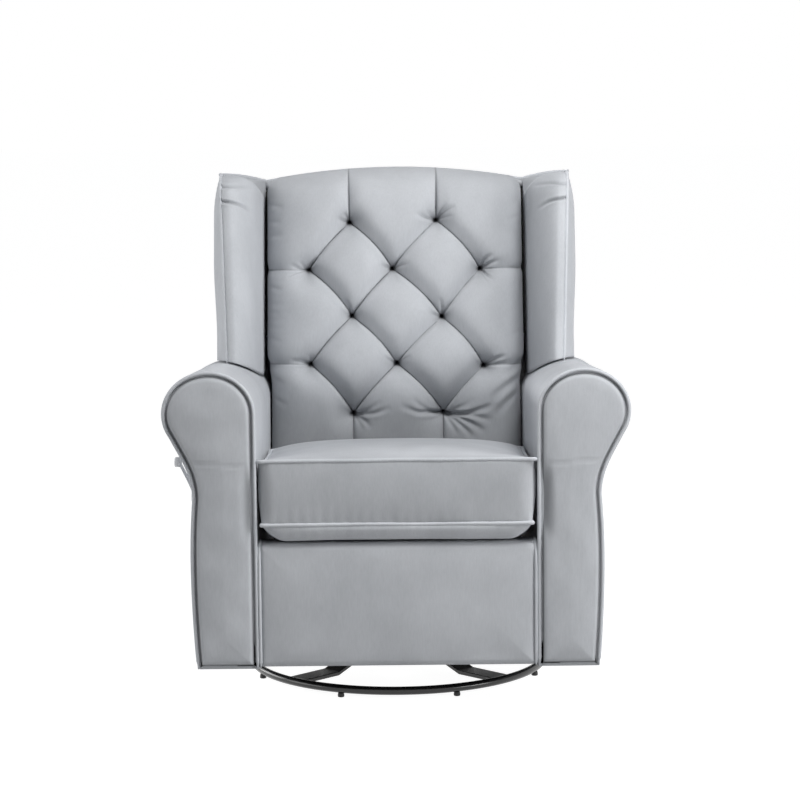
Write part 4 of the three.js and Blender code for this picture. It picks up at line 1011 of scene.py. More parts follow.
BACK_SEAT, BACK_SEAT_HEIGHT = 0.07, 0.47
BACK_FRONT_LEAN, BACK_REAR_LEAN = math.tan(math.radians(18)), math.tan(math.radians(14))
BACK_REAR, BACK_REAR_HEIGHT, BACK_PANEL_THICK = 0.275, 0.33, 0.012
BACK_BOTTOM, BACK_TOP, BACK_ARCH, BACK_THICK = 0.345, 0.979, 0.024, 0.15
BACK_UPPER_HALF, BACK_LOWER_HALF, BACK_SHOULDER = 0.2625, 0.2536, (0.54, 0.612)
BACK_CORNER, BACK_SINK = 26 * MM, 8 * MM
BACK_WAVE, BACK_WAVE_HEIGHT = 0.11, 1.2 * MM
SOFT_REACH, SLIT_DEPTH, PAD_REACH = 9 * MM, 5 * MM, 24 * MM
# Tufts further apart than this aren't joined; a fold is narrow below its line and wide above it, and the
# painted dark line in its slit has the last width
SEAM_SPAN, SEAM_WIDTH, SEAM_SLIT = 0.12, (2.8 * MM, 10 * MM), 1.15 * MM
# Strength of the painted dark line in a seam's slit: crisp on folds that run down to the right or lie on the
# left half, faint on the rest
SEAM_CRISP, SEAM_FAINT = 0.8, 0.45
# Width of a border fold and of the painted dark line in its slit
BORDER_WIDTH, BORDER_SLIT = (2.6 * MM, 4.5 * MM), 1.4 * MM
# A tuft is a pit in a wide hollow, with painted shade darkest in the pit and a fainter painted halo round it
HOLLOW_DEPTH, HOLLOW_SIZE, PIT_DEPTH, PIT_SIZE = 5 * MM, 40 * MM, 10 * MM, 5 * MM
PIT_SHADE, PIT_SHADE_SIZE, HALO_SHADE, HALO_SIZE = 0.92, 4.2 * MM, 0.42, 13 * MM
# Where a crease starts, and the strength and width of the painted shade along it
CREASE_START, CREASE_SHADE, CREASE_SLIT = 4 * MM, 0.45, 1.5 * MM
SIDE_GATHER_WAVE, SIDE_GATHER_DEPTH, SIDE_GATHER_REACH = 17 * MM, 4 * MM, 14 * MM
# The lower part lies back behind the seat cushion and is darkened by painted shade
LOW_FALL, LOW_DEPTH, LOW_SHADE = (0.42, 0.61), 46 * MM, 0.36
SEAT_CONTACT, SEAT_GIVE = 70 * MM, 7 * MM
# Rows of tufts from the top down, each a list of (x, z), as uneven as hand work
TUFTS = (
    ((-0.092, 0.868), (0.085, 0.871)),
    ((-0.1755, 0.773), (-0.005, 0.7745), (0.174, 0.773)),
    ((-0.088, 0.681), (0.095, 0.678)),
    ((-0.1725, 0.5865), (0.002, 0.587), (0.1785, 0.5815)),
    ((-0.087, 0.486), (0.0955, 0.487)),
)
# Creases that run out from a tuft: its row and column, degrees, then length, depth, width and bow in mm
CREASES = (
    (0, 0, 118, 26, 2.2, 4.0, 2),
    (0, 0, 150, 30, 1.6, 4.5, -2),
    (0, 0, 62, 22, 1.4, 4.0, 2),
    (0, 1, 38, 52, 3.6, 5.0, 4),
    (0, 1, 58, 44, 2.6, 4.2, 3),
    (0, 1, 20, 40, 1.8, 4.2, 2),
    (0, 1, 152, 46, 2.4, 5.0, -4),
    (0, 1, 128, 30, 1.6, 4.0, -2),
    (1, 0, 60, 34, 3.0, 4.0, 2),
    (1, 0, 158, 40, 2.6, 4.2, -2),
    (1, 0, 196, 46, 2.2, 4.5, 3),
    (1, 0, 130, 28, 1.8, 3.6, -2),
    (1, 1, 46, 36, 2.4, 4.2, 2),
    (1, 1, 22, 40, 2.0, 4.4, 2),
    (1, 1, 150, 26, 1.4, 4.0, -2),
    (1, 2, 52, 42, 3.2, 4.0, 4),
    (1, 2, 26, 46, 2.8, 4.0, 3),
    (1, 2, -32, 34, 3.2, 3.6, -3),
    (1, 2, -54, 30, 2.4, 3.4, -2),
    (2, 0, 116, 42, 2.4, 4.4, 3),
    (2, 0, 52, 34, 1.8, 4.2, 2),
    (2, 1, 96, 44, 2.4, 4.2, 2),
    (2, 1, 60, 40, 2.2, 4.2, 3),
    (2, 1, 150, 30, 1.6, 4.0, -2),
    (3, 0, 166, 44, 3.0, 4.4, 3),
    (3, 0, 148, 34, 2.0, 4.0, 2),
    (3, 0, 92, 24, 1.6, 4.0, 0),
    (3, 1, 34, 36, 2.0, 4.4, 2),
    (3, 1, 140, 30, 1.6, 4.0, -2),
    (3, 2, 24, 54, 3.4, 4.4, 4),
    (3, 2, 6, 60, 2.6, 4.2, 3),
    (3, 2, 46, 30, 2.0, 4.0, 2),
    (4, 0, 14, 78, 3.4, 4.6, -5),
    (4, 0, 30, 66, 2.6, 4.8, -6),
    (4, 0, -36, 44, 2.4, 4.4, 4),
    (4, 0, -62, 36, 1.8, 4.2, 3),
    (4, 1, 166, 92, 3.2, 5.0, -6),
    (4, 1, 150, 74, 2.6, 5.0, -8),
    (4, 1, 178, 62, 2.0, 4.6, 4),
    (4, 1, 12, 108, 4.6, 5.2, -7),
    (4, 1, -8, 100, 4.2, 5.0, 6),
    (4, 1, -24, 92, 4.4, 5.0, 7),
    (4, 1, -40, 78, 3.6, 4.6, 6),
    (4, 1, 30, 70, 2.6, 5.2, -6),
    (4, 1, -58, 50, 2.6, 4.4, 3),
)
# Creases that run in from the cushion's sides: start x and z, end x and z, depth, width and bow in mm
SIDE_CREASES = (
    (262, 560, 190, 512, 4.2, 6.0, 6),
    (262, 534, 200, 482, 3.6, 5.6, 5),
    (262, 585, 215, 560, 2.6, 5.0, 3),
    (-262, 905, -226, 900, 1.8, 4.0, 2),
    (-264, 872, -232, 874, 1.6, 3.8, -2),
    (-264, 838, -226, 846, 1.6, 3.8, 2),
    (264, 915, 232, 902, 2.2, 4.0, -2),
    (264, 880, 226, 868, 1.8, 4.0, 2),
    (264, 742, 232, 736, 1.8, 4.0, 2),
    (264, 700, 236, 696, 1.6, 3.8, -2),
    (-264, 742, -228, 734, 1.6, 4.0, 2),
    (-264, 690, -236, 692, 1.4, 3.8, -2),
    (264, 650, 230, 640, 1.8, 4.0, 2),
    (-262, 640, -232, 632, 1.4, 3.8, 2),
    (-258, 560, -226, 548, 1.8, 4.4, 2),
    (-256, 520, -220, 506, 1.6, 4.4, 2),
)


def back_front(z):
    """Front plane of the back cushion."""
    return BACK_SEAT + (z - BACK_SEAT_HEIGHT) * BACK_FRONT_LEAN


def rear_plane(z):
    """Plane of the outside back."""
    return BACK_REAR + (z - BACK_REAR_HEIGHT) * BACK_REAR_LEAN


def back_half(z):
    """Half the cushion's width at a height: narrow between the arms, wide above them."""
    return BACK_LOWER_HALF + (BACK_UPPER_HALF - BACK_LOWER_HALF) * ease(z, *BACK_SHOULDER)


def press_fold(sums, flat, line, width, weight, strength, slit, fade, crisp, upright=False):
    """Adds a fold to three sums: how near a seam is, how deep it lies and how dark the painted shade in its
    slit is.
    """
    near, depth, dark = sums
    distance, share, side = distance_to(flat, line)
    along = 1 - fade * (share if upright else np.sin(share * math.pi))
    near += weight * np.exp(-distance / SOFT_REACH)
    depth += (strength * along * np.exp(-distance / (width[0] + width[1] * ease(side, -1, 1)))) ** 3
    np.maximum(dark, (crisp[0] + crisp[1] * share) * along * bell(distance, slit), out=dark)


def press_seams(flat, bow):
    """The folds between neighbouring tufts and those from the outer tufts to the cushion's borders."""
    sums = np.zeros((3, len(flat)))
    for upper, lower in zip(TUFTS, TUFTS[1:]):
        for start, end in ((start, end) for start in upper for end in lower):
            if abs(start[0] - end[0]) > SEAM_SPAN:
                continue
            rightwards = end[0] > start[0]
            crisp = SEAM_CRISP if rightwards or start[0] + end[0] < 0 else SEAM_FAINT
            line = bow_line(start, end, bow if rightwards else 0.6 * bow)
            press_fold(sums, flat, line, SEAM_WIDTH, 1, 1, SEAM_SLIT, 0.35, (crisp, 0))
    for row, widen, height, strength in ((0, 1.02, BACK_TOP + 10 * MM, 0.6), (-1, 0.99, BACK_BOTTOM, 0.7)):
        for x, z in TUFTS[row]:
            line, crisp = bow_line((x, z), (x * widen, height), 0), (0.95, 0)
            press_fold(sums, flat, line, BORDER_WIDTH, 0.5, strength, BORDER_SLIT, 0.4, crisp, upright=True)
    for x, z in (TUFTS[1][0], TUFTS[1][-1], TUFTS[3][0], TUFTS[3][-1]):
        line = bow_line((x, z), (math.copysign(BACK_UPPER_HALF + 9.5 * MM, x), z - 2 * MM), 4 * MM)
        press_fold(sums, flat, line, BORDER_WIDTH, 0.5, 0.55, BORDER_SLIT, 0.75, (0.5, 0.4))
    return sums


def back_relief(flat, back):
    """How far each point of the cushion's face is pulled in, and its painted shade: in seam slits, at tufts,
    along creases and over the lower part.
    """
    x, z = flat.T
    near, depth, slit = press_seams(flat, back.seam_bow)
    near_seam = np.maximum(-SOFT_REACH * np.log(np.maximum(near, 1e-9)), 0)
    dip = back.seam_depth * np.cbrt(depth) + SLIT_DEPTH * slit + back.crown * bell(near_seam, PAD_REACH)
    # Painted shade: dark lines in the seams' slits, dark spots and halos at the tufts, lines along the
    # creases and the lower part
    dark = 0.85 * slit
    for tuft_x, tuft_z in (tuft for row in TUFTS for tuft in row):
        reach = np.hypot(x - tuft_x, z - tuft_z)
        dip += back.tuft_depth * np.exp(-reach / back.tuft_radius)
        dip += HOLLOW_DEPTH * bell(reach, HOLLOW_SIZE) + PIT_DEPTH * bell(reach, PIT_SIZE)
        stretched = np.hypot((x - tuft_x) / 1.25, z - tuft_z - 1.2 * MM)
        halo = HALO_SHADE * np.exp(-reach / HALO_SIZE)
        dark = np.maximum(dark, PIT_SHADE * bell(stretched, PIT_SHADE_SIZE) + halo)
    for row, column, degrees, *sizes in CREASES:
        start, turn = np.array(TUFTS[row][column]), math.radians(degrees)
        reach, way = np.hypot(*(flat - start).T), np.array([math.cos(turn), math.sin(turn)])
        long, deep, width, bow = (size * MM for size in sizes)
        line = bow_line(start + CREASE_START * way, start + long * way, bow)
        distance, share, _ = distance_to(flat, line)
        fade = (1 - share) ** 0.8 * ease(reach, 2 * MM, 10 * MM)
        dip += back.crease * deep * fade * fold(distance, 0.8 * width * (0.8 + 0.9 * share))
        dark = np.maximum(dark, CREASE_SHADE * fade * bell(distance, CREASE_SLIT))
    for crease in SIDE_CREASES:
        start_x, start_z, end_x, end_z, deep, width, bow = (size * MM for size in crease)
        distance, share, _ = distance_to(flat, bow_line((start_x, start_z), (end_x, end_z), bow))
        dip += back.crease * deep * (1 - share) ** 0.7 * fold(distance, width * (1 + 0.6 * share))
    for side in (-1, 1):
        off = BACK_UPPER_HALF - side * x
        gather = ripple(np.column_stack([z, off * 0.1]), SIDE_GATHER_WAVE, 61 + side)
        gather *= np.exp(-np.clip(off, 0, 1) / SIDE_GATHER_REACH) * ease(z, 0.6, 0.66)
        dip += SIDE_GATHER_DEPTH * gather
    below = 1 - ease(z, *LOW_FALL)
    return dip + LOW_DEPTH * below, np.clip(np.maximum(dark, LOW_SHADE * below), 0, 1)


def close_back(face, rows, columns):
    """The whole cushion: its face, rings that run back from its rim, and its flat rear."""
    before = grid_rim(rows, columns)
    rim = face[before]
    parts, faces = [face], grid_faces(rows, columns)
    side_top = BACK_TOP - BACK_ARCH
    for step in range(4):
        share = (step + 1) / 4
        ring = rim.copy()
        ring[:, 2] -= BACK_SINK * share * ease(rim[:, 2], side_top - 45 * MM, side_top)
        ring[:, 1] += (back_front(ring[:, 2]) + BACK_THICK - rim[:, 1]) * share
        swell = 1.2 * MM * math.sin(share * math.pi)
        ring[:, 0] += np.sign(rim[:, 0]) * swell * (np.abs(rim[:, 0]) > 0.2)
        parts.append(ring)
        first = len(face) + step * len(rim)
        now = list(range(first, first + len(rim)))
        faces += zip(before, before[1:] + before[:1], now[1:] + now[:1], now)
        before = now
    middle = (BACK_BOTTOM + BACK_TOP) / 2
    parts.append([[0, back_front(middle) + BACK_THICK, middle]])
    return np.vstack(parts), faces + fan_faces(before, before[-1] + 1)


class RECLINER_OT_tufted_back(Operator):
    """Builds the back cushion with its twelve tufts, folds and creases"""

    bl_idname = "recliner.tufted_back"
    bl_label = "Tufted back"

    def execute(self, context):
        across, up = crowd(430, 0.3), (crowd(500, 0.22) + 1) / 2
        u, v = grid_over(across, up)
        size = BACK_CORNER / BACK_UPPER_HALF
        corner = np.clip((np.abs(u) - 1 + size) / size, 0, 1)
        top = BACK_TOP - BACK_ARCH * u * u - BACK_CORNER * (1 - np.sqrt(np.clip(1 - corner**2, 0, 1)))
        z = BACK_BOTTOM + (top - BACK_BOTTOM) * v
        x = u * back_half(z)
        flat = np.stack([x, z], axis=1)
        dip, dark = back_relief(flat, context.scene.recliner_back)
        roundness = np.sqrt(np.clip((1 - np.abs(u) ** 7) * (1 - np.abs(2 * v - 1) ** 14), 0, 1))
        thick = BACK_THICK * (0.4 + 0.6 * roundness) - (dip - 4 * MM) * roundness
        thick += ripple(flat, BACK_WAVE, 5) * BACK_WAVE_HEIGHT * roundness
        limit = SEAT_REAR + 4 * MM - SEAT_CONTACT * ease(z, 0.452, 0.5)
        over = back_front(z) + BACK_THICK - thick - limit
        y = limit + (over + np.sqrt(over * over + SEAT_GIVE**2)) / 2
        for row in (TUFTS[1], TUFTS[3]):
            x = x - np.sign(u) * 2.5 * MM * bell(z - row[0][1], 9 * MM) * ease(np.abs(u), 0.75, 1)
        skin = close_back(np.stack([x, y, z], axis=1), len(up), len(across))
        cushion = make_pad("back_pad", skin, "back", "back_cushion", merge=False)
        paint_shade(cushion, dark)
        return {"FINISHED"}


# Wings and outside back


WING_INNER, WING_OUTER = 0.2692, 0.368
WING_WIDE = WING_OUTER - WING_INNER
WING_FRONT_LOW, WING_FRONT_HIGH, WING_EDGE_LOW, WING_EDGE_HIGH = -0.032, 0.115, 0.331, 0.348
WING_TOP, WING_FALL, WING_NOSE, WING_CORNER, WING_HOLLOW = 0.974, 0.015, 0.03, 0.046, 0.074
WING_REAR_FALL = WING_TOP - WING_FALL - (BACK_TOP - BACK_SINK - BACK_ARCH)
WING_SHOULDER, WING_BEND = 0.64, 0.89
WING_FOOT, WING_GAP = 0.57, 4 * MM
# The wing's soft waves, and the strength of the painted shade at its inner edge
WING_WAVE, WING_WAVE_HEIGHT, WING_SHADE = 0.15, 1.5 * MM, 0.5
# Two pleats run inwards from the welt near the top: start, end, depth and bow
WING_PLEATS = (
    ((0.343, 0.950), (0.280, 0.941), 5 * MM, 5 * MM),
    ((0.345, 0.922), (0.288, 0.896), 6.5 * MM, 8 * MM),
)
TAIL_INNER, TAIL_FRONT, TAIL_WAIST, TAIL_TOP = 0.2566, 0.24, 0.525, 0.615
OUTSIDE_BOTTOM, LIP_DEPTH, LIP_GAP = 0.305, 13.5 * MM, 0.6 * MM


def wing_rear(z):
    """Plane that the wings' rears lie on."""
    return rear_plane(z) - BACK_PANEL_THICK - 0.3 * MM


def wing_ledge(y):
    """Underside of a wing, just over the arm."""
    return ARM_TOP - arm_fall(y) + WING_GAP


WING_BASE = wing_ledge(WING_FRONT_LOW)


def wing_edge(z, drop=0):
    """The wing's welted corner at a height: x and y."""
    share = (z - WING_BASE) / (WING_TOP - WING_BASE)
    front = WING_FRONT_LOW + (WING_FRONT_HIGH - WING_FRONT_LOW) * share + drop
    return WING_EDGE_LOW + (WING_EDGE_HIGH - WING_EDGE_LOW) * np.clip(share, 0, 1), front


def wing_side(z):
    """How far out the wing's plain side bulges at a height."""
    bend = np.clip((z - WING_BEND) / (WING_TOP - WING_BEND), 0, 1)
    return WING_OUTER - 7 * MM * (1 - ease(z, WING_SHOULDER, 0.8)) - 13 * MM * bend**2


def wing_section(z, drop=0, count=260):
    """The wing's outline in plan at a height, smooth in front and square behind."""
    edge, front = wing_edge(z, drop)
    rear = wing_rear(z)
    hollow = min(back_front(z) + WING_HOLLOW, rear - WING_NOSE)
    line = [(WING_INNER, (hollow + rear) / 2), (WING_INNER, hollow)]
    nose = edge - WING_NOSE / 2
    for turn in np.linspace(0, math.pi / 2, 12)[1:]:
        x = nose - (nose - WING_INNER) * math.cos(turn) ** 1.15
        line.append((x, hollow - (hollow - front) * math.sin(turn)))
    out, deep = wing_side(z), rear - front
    line += [(edge - WING_NOSE / 6, front + WING_NOSE / 9), (edge, front + WING_NOSE / 2)]
    line += [(edge + (out - edge) * 0.7, front + deep * 0.22), (out, front + deep * 0.45)]
    line += [(out + (WING_OUTER - out) * 0.5, front + deep * 0.8)]
    return resample(np.vstack([[(WING_INNER, rear)], spline(line), [(WING_OUTER, rear)]]), count)


def wing_levels():
    """Heights of the wing's sections, and how far each front edge has dropped back round the top corner."""
    heights = [np.linspace(WING_SHOULDER, WING_BEND, 60), np.linspace(WING_BEND, WING_TOP, 60)[1:]]
    heights = np.concatenate(heights)
    over = np.clip(heights - (WING_TOP - WING_CORNER), 0, WING_CORNER)
    return list(zip(heights, WING_CORNER - np.sqrt(np.maximum(WING_CORNER**2 - over**2, 0))))


def wing_height(x, y, z):
    """Height of a section's point after the top's fall towards the cushion and the rear."""
    share = np.clip((z - WING_SHOULDER) / (WING_TOP - WING_SHOULDER), 0, 1) ** 3
    inwards = (WING_OUTER - x) / WING_WIDE
    rear = wing_rear(WING_TOP)
    back = np.clip((y - WING_FRONT_HIGH) / (rear - WING_FRONT_HIGH), 0, 1)
    corner = 1 - np.sqrt(1 - np.clip((inwards - 0.62) / 0.38, 0, 1) ** 2)
    inner_round = 36 * MM * corner * (1 - ease(y, 0.29, rear - 10 * MM))
    crown = 5 * MM * np.sin(np.clip(inwards, 0, 1) * math.pi) * (1 - back)
    fall = WING_FALL * inwards**2 + WING_REAR_FALL * back + inner_round - crown + 3 * MM * (1 - back)
    return z - fall * share


def over_arm(x, y):
    """Height just over the arm's roll; behind the arm it is inside the wing's tail."""
    round_off = 1 - np.sqrt(1 - np.clip((x - ARM_MIDDLE) / ARM_HALF, -0.95, 0.95) ** 2)
    above = wing_ledge(y) - (ARM_TOP - ROLL_HEIGHT) * round_off
    return np.where(y > ARM_REAR + WING_GAP, WING_FOOT, above)


def wing_rings():
    """Rings of the left wing, from the middle of its foot over the arm to the middle of its top."""

    def leaned(section, z, height):
        return np.column_stack([section[:, 0], section[:, 1] + (height - z) * BACK_REAR_LEAN, height])

    ledge = wing_section(WING_BASE)
    foot = leaned(ledge, WING_BASE, over_arm(*ledge.T))
    middle = foot.mean(axis=0)
    levels = []
    for z, drop in wing_levels():
        section = wing_section(z, drop)
        levels.append(leaned(section, z, wing_height(*section.T, z)))
    rings = []
    for share in (0.05, 0.3, 0.55, 0.8, 0.95):
        ring = middle + (foot - middle) * share
        ring[:, 2] = np.maximum(over_arm(ring[:, 0], ring[:, 1]), WING_FOOT)
        rings.append(ring)
    rings += [foot + (levels[0] - foot) * share for share in np.linspace(0, 1, 10)[:-1]]
    rings += levels
    for share in (0.03, 0.08, 0.2, 0.45, 0.8):
        ring = levels[-1] + (levels[-1].mean(axis=0) - levels[-1]) * share
        ring[:, 2] += 1.5 * MM * math.sqrt(share)
        rings.append(ring)
    return rings


def tail_rings():
    """Four sections of the strip that carries the left wing on downwards behind the arm."""
    step = TAIL_WAIST + WING_INNER - TAIL_INNER
    inners = (TAIL_INNER, TAIL_INNER, WING_INNER, WING_INNER)
    rings = []
    for z, inner in zip((OUTSIDE_BOTTOM, TAIL_WAIST, step, TAIL_TOP), inners):
        front = [(inner, TAIL_FRONT, z), (WING_OUTER - 6 * MM, TAIL_FRONT, z)]
        rings.append([(inner, wing_rear(z), z), *front, (WING_OUTER - 1 * MM, wing_rear(z), z)])
    return rings


def wing_trail():
    """Path of the left wing's welt: up the front edge, round the corner and back along the top."""
    _, front = wing_edge(WING_BASE)
    low = wing_ledge(front) - 6 * MM
    trail = []
    for share in np.linspace(0, 1, 8)[:-1]:
        z = low + (WING_SHOULDER - low) * share
        edge, front = wing_edge(max(z, WING_BASE))
        trail.append((edge, front + WING_NOSE * 0.36, z))
    for z, drop in wing_levels():
        edge, front = wing_edge(z, drop)
        y = front + WING_NOSE * 0.36
        trail.append((edge + 0.2 * MM, y, wing_height(edge, y, z) + 0.5 * MM))
    edge, front = wing_edge(WING_TOP, WING_CORNER)
    start, end = front + WING_NOSE * 0.4, wing_rear(WING_TOP) - 4 * MM
    for share in np.linspace(0, 1, 12)[1:]:
        x, y = edge + (WING_OUTER - edge) * share**0.8, start + (end - start) * share
        trail.append((x - 0.5 * MM, y, wing_height(x, y, WING_TOP) + 0.5 * MM))
    return resample(spline(trail, 3), 150)


def build_wing(side, sign, seed):
    """One wing: soft inner face with two pleats, welted edge, plain outer side and a tail behind the arm."""
    wing = make_pad(f"wing_pad_{side}", mirrored(loft(wing_rings()), sign), "back", f"wing_{side}")
    tail = make_pad(f"wing_tail_{side}", mirrored(loft(tail_rings()), sign), "back", smooth=False)
    soften(tail, 5 * MM)

    places, normals = mesh_normals(wing)
    out, height = places[:, 0] * sign, places[:, 2]
    facing = np.clip(-normals[:, 1] * 1.3, 0, 1)
    press = np.zeros(len(places))
    for start, end, depth, bow in WING_PLEATS:
        distance, share, _ = distance_to(np.column_stack([out, height]), bow_line(start, end, bow))
        press += depth * (1 - share) ** 0.5 * fold(distance, 3 * MM)
    soft = ripple(places, WING_WAVE, seed) * WING_WAVE_HEIGHT
    soft *= ease(height, WING_BASE + 10 * MM, WING_BASE + 50 * MM) * ease(WING_TOP - height, 0, 30 * MM)
    # Painted shade darkens the inner edge of the wing's face and its two pleats
    shade = WING_SHADE * ease((WING_OUTER - out) / WING_WIDE, 0.72, 1.0) ** 2 * facing
    push(wing, facing * (soft - press))
    paint_shade(wing, np.maximum(shade, 60 * np.clip(press, 0, 1) * facing))
    make_welt(f"wing_welt_{side}", mirror_x(wing_trail(), sign), "back", 0.9)


class RECLINER_OT_wings(Operator):
    """Builds both wings with their welts"""

    bl_idname = "recliner.wings"
    bl_label = "Wings"

    def execute(self, context):
        for (side, sign), seed in zip(SIDES, (21, 22)):
            build_wing(side, sign, seed)
        return {"FINISHED"}


def back_top(x):
    """Top line of the whole back."""
    out = np.abs(x)
    wing = WING_TOP - WING_REAR_FALL - WING_FALL * ((WING_OUTER - out) / WING_WIDE) ** 2
    return np.where(out <= WING_INNER, BACK_TOP - BACK_SINK - BACK_ARCH * (out / WING_INNER) ** 2, wing)


def rear_panel(name, node, body, sizes, x, z, rear, front, edge, swell, waves):
    """A thin padded panel that faces the rear, over rows and columns of x and z."""
    height, reach = swell
    wavelength, wave_height, seed = waves
    puff = height * (1 - np.exp(-edge / reach))
    puff += ripple(np.stack([x, z], axis=1), wavelength, seed) * wave_height
    outer = np.stack([x, rear + puff - round_edge(edge, 5 * MM), z], axis=1)
    inner = np.stack([x, np.broadcast_to(front, x.shape), z], axis=1)
    make_pad(name, closed_pad(outer, inner, *sizes), body, node)


def lip_ring(x):
    """Section of the lip that closes the top between the cushion and the outside panel."""
    top = float(back_top(x))
    low = top - LIP_DEPTH
    front, front_low = (back_front(z) + BACK_THICK + LIP_GAP for z in (top, low))
    rear, rear_low = (rear_plane(z) - BACK_PANEL_THICK + 2 * MM for z in (top, low))
    ring = []
    for share in np.linspace(0, 1, 8):
        height = top + 1.5 * MM * (math.sin(share * math.pi) - 1)
        ring.append((x, front + (rear - front) * share, height))
    return ring + [(x, rear_low, low), (x, front_low, low)]


class RECLINER_OT_outside_back(Operator):
    """Builds the outside back panel with its welt and the lip over the cushion's top"""

    bl_idname = "recliner.outside_back"
    bl_label = "Outside back"

    def execute(self, context):
        across, up = crowd(90, 0.2), (crowd(80, 0.2) + 1) / 2
        u, v = grid_over(across, up)
        x = u * WING_OUTER
        z = OUTSIDE_BOTTOM + (back_top(x) - OUTSIDE_BOTTOM) * v
        edge = np.minimum((1 - np.abs(u)) * WING_OUTER, np.minimum(v, 1 - v) * 0.65)
        sizes, rear, front = (len(up), len(across)), rear_plane(z) - 3 * MM, rear_plane(z) - BACK_PANEL_THICK
        swell, waves = (2.5 * MM, 60 * MM), (0.2, 0.8 * MM, 41)
        rear_panel("back_panel", "outside_back", "back", sizes, x, z, rear, front, edge, swell, waves)
        half = WING_INNER - 0.3 * MM
        make_pad("back_lip", loft([lip_ring(x) for x in np.linspace(-half, half, 60)]), "back")

        xs = np.linspace(-1, 1, 90) * (WING_OUTER - 1 * MM)
        tops = back_top(xs) - 0.5 * MM
        heights = np.linspace(OUTSIDE_BOTTOM + 3 * MM, float(tops[-1]) - 8 * MM, 50)
        left = np.column_stack([np.full(50, xs[-1]), heights])
        flat = np.vstack([left, np.column_stack([xs, tops])[::-1], left[::-1] * [-1, 1]])
        trail = np.column_stack([flat[:, 0], rear_plane(flat[:, 1]) - 8 * MM, flat[:, 1]])
        make_welt("back_welt", resample(trail, 320), "back", 0.9)
        return {"FINISHED"}


class RECLINER_OT_rear_skirt(Operator):
    """Builds the upholstered skirt below the back"""

    bl_idname = "recliner.rear_skirt"
    bl_label = "Rear skirt"

    def execute(self, context):
        low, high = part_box("rear_skirt")
        across, up = crowd(60, 0.3), (crowd(24, 0.3) + 1) / 2
        u, v = grid_over(across, up)
        tall = high.z - low.z
        edge = np.minimum((1 - np.abs(u)) * high.x, np.minimum(v, 1 - v) * tall)
        place = ((len(up), len(across)), u * high.x, low.z + tall * v, high.y - 1.5 * MM, low.y, edge)
        rear_panel("skirt_panel", "rear_skirt", "chair", *place, (2 * MM, 40 * MM), (0.15, 0.7 * MM, 51))
        return {"FINISHED"}


# Base and mechanism


RING_RADIUS, RING_TUBE, FOOT_HEIGHT = 0.288, 8 * MM, 8 * MM
RING_MIDDLE = FOOT_HEIGHT + RING_TUBE
CROSS_WIDTH, CROSS_THICK, CROSS_RISE, BEND_INNER, BEND_OUTER = 0.042, 8 * MM, 24 * MM, 0.12, 0.185
GLIDES = 8
# Radius and height up a glide, in mm
GLIDE_PROFILE = ((4.8, 0.0), (6.0, 0.6), (6.3, 1.6), (6.3, 5.2), (5.6, 7.0), (5.6, 8.6))
LEVER_PIVOT = (0, -0.235, 0.385)
# The lever's stem from its hub to its knob, and its size along the way in mm
LEVER_STEM = ((0.3825, 0, 0), (0.386, -0.028, 0.022), (0.394, -0.054, 0.048), (0.4045, -0.0715, 0.0755))
STEM_SHARES, STEM_SIZES = (0, 0.2, 0.8, 1), (9, 7, 5.5, 6)
# Start, end, Y, Z and radius of the round hub and of the knob
LEVER_HUB, LEVER_KNOB = (0.378, 0.3885, 0, 0, 0.0155), (0.4, 0.4135, -0.0735, 0.0764, 0.0095)
PLAIN_NODES = {
    "powder": ("glide_base_plate", "legrest_drive_arms"),
    "zinc": ("swivel_lower_race", "swivel_upper_race", "swivel_post"),
    # Near-black frame parts in the gaps between the pads, as painted shade
    "painted_shade_timber": ("body_rail_front", "seat_frame", "back_board"),
    "timber": ("body_rail_rear", "legrest_board"),
    "strap": ("seat_webbing",),
    "handle": ("lever_plate",),
}
PAIRED_NODES = {
    "powder": (
        "glide_tower",
        "glide_hanger",
        "mechanism_plate",
        "back_hinge_plate",
        "back_hinge_bracket",
        "legrest_bracket",
    ),
    "zinc": (
        "glide_link_front",
        "glide_link_rear",
        "legrest_rear_link",
        "legrest_lift_link",
        "legrest_cross_link",
        "legrest_stay",
    ),
    "timber": ("arm_frame",),
}


def cross_bar(turn, lift):
    """A flat bar across the ring, raised in its middle under the swivel."""
    reach = RING_RADIUS - RING_TUBE - 0.2 * MM
    stations = np.linspace(-BEND_INNER, BEND_INNER, 12)
    stations = [np.linspace(-reach, -BEND_OUTER, 8), stations, np.linspace(BEND_OUTER, reach, 8)]
    stations = np.concatenate(stations)
    heights = RING_MIDDLE + lift + CROSS_RISE * (1 - ease(np.abs(stations), BEND_INNER, BEND_OUTER))
    across = np.array([math.cos(turn), math.sin(turn)]) * CROSS_WIDTH / 2
    along = np.array([-math.sin(turn), math.cos(turn)])
    rings = []
    for y, height in zip(stations, heights):
        left, right = along * y - across, along * y + across
        low, high = height - CROSS_THICK / 2, height + CROSS_THICK / 2
        rings.append([(*left, low), (*right, low), (*right, high), (*left, high)])
    return loft(rings)


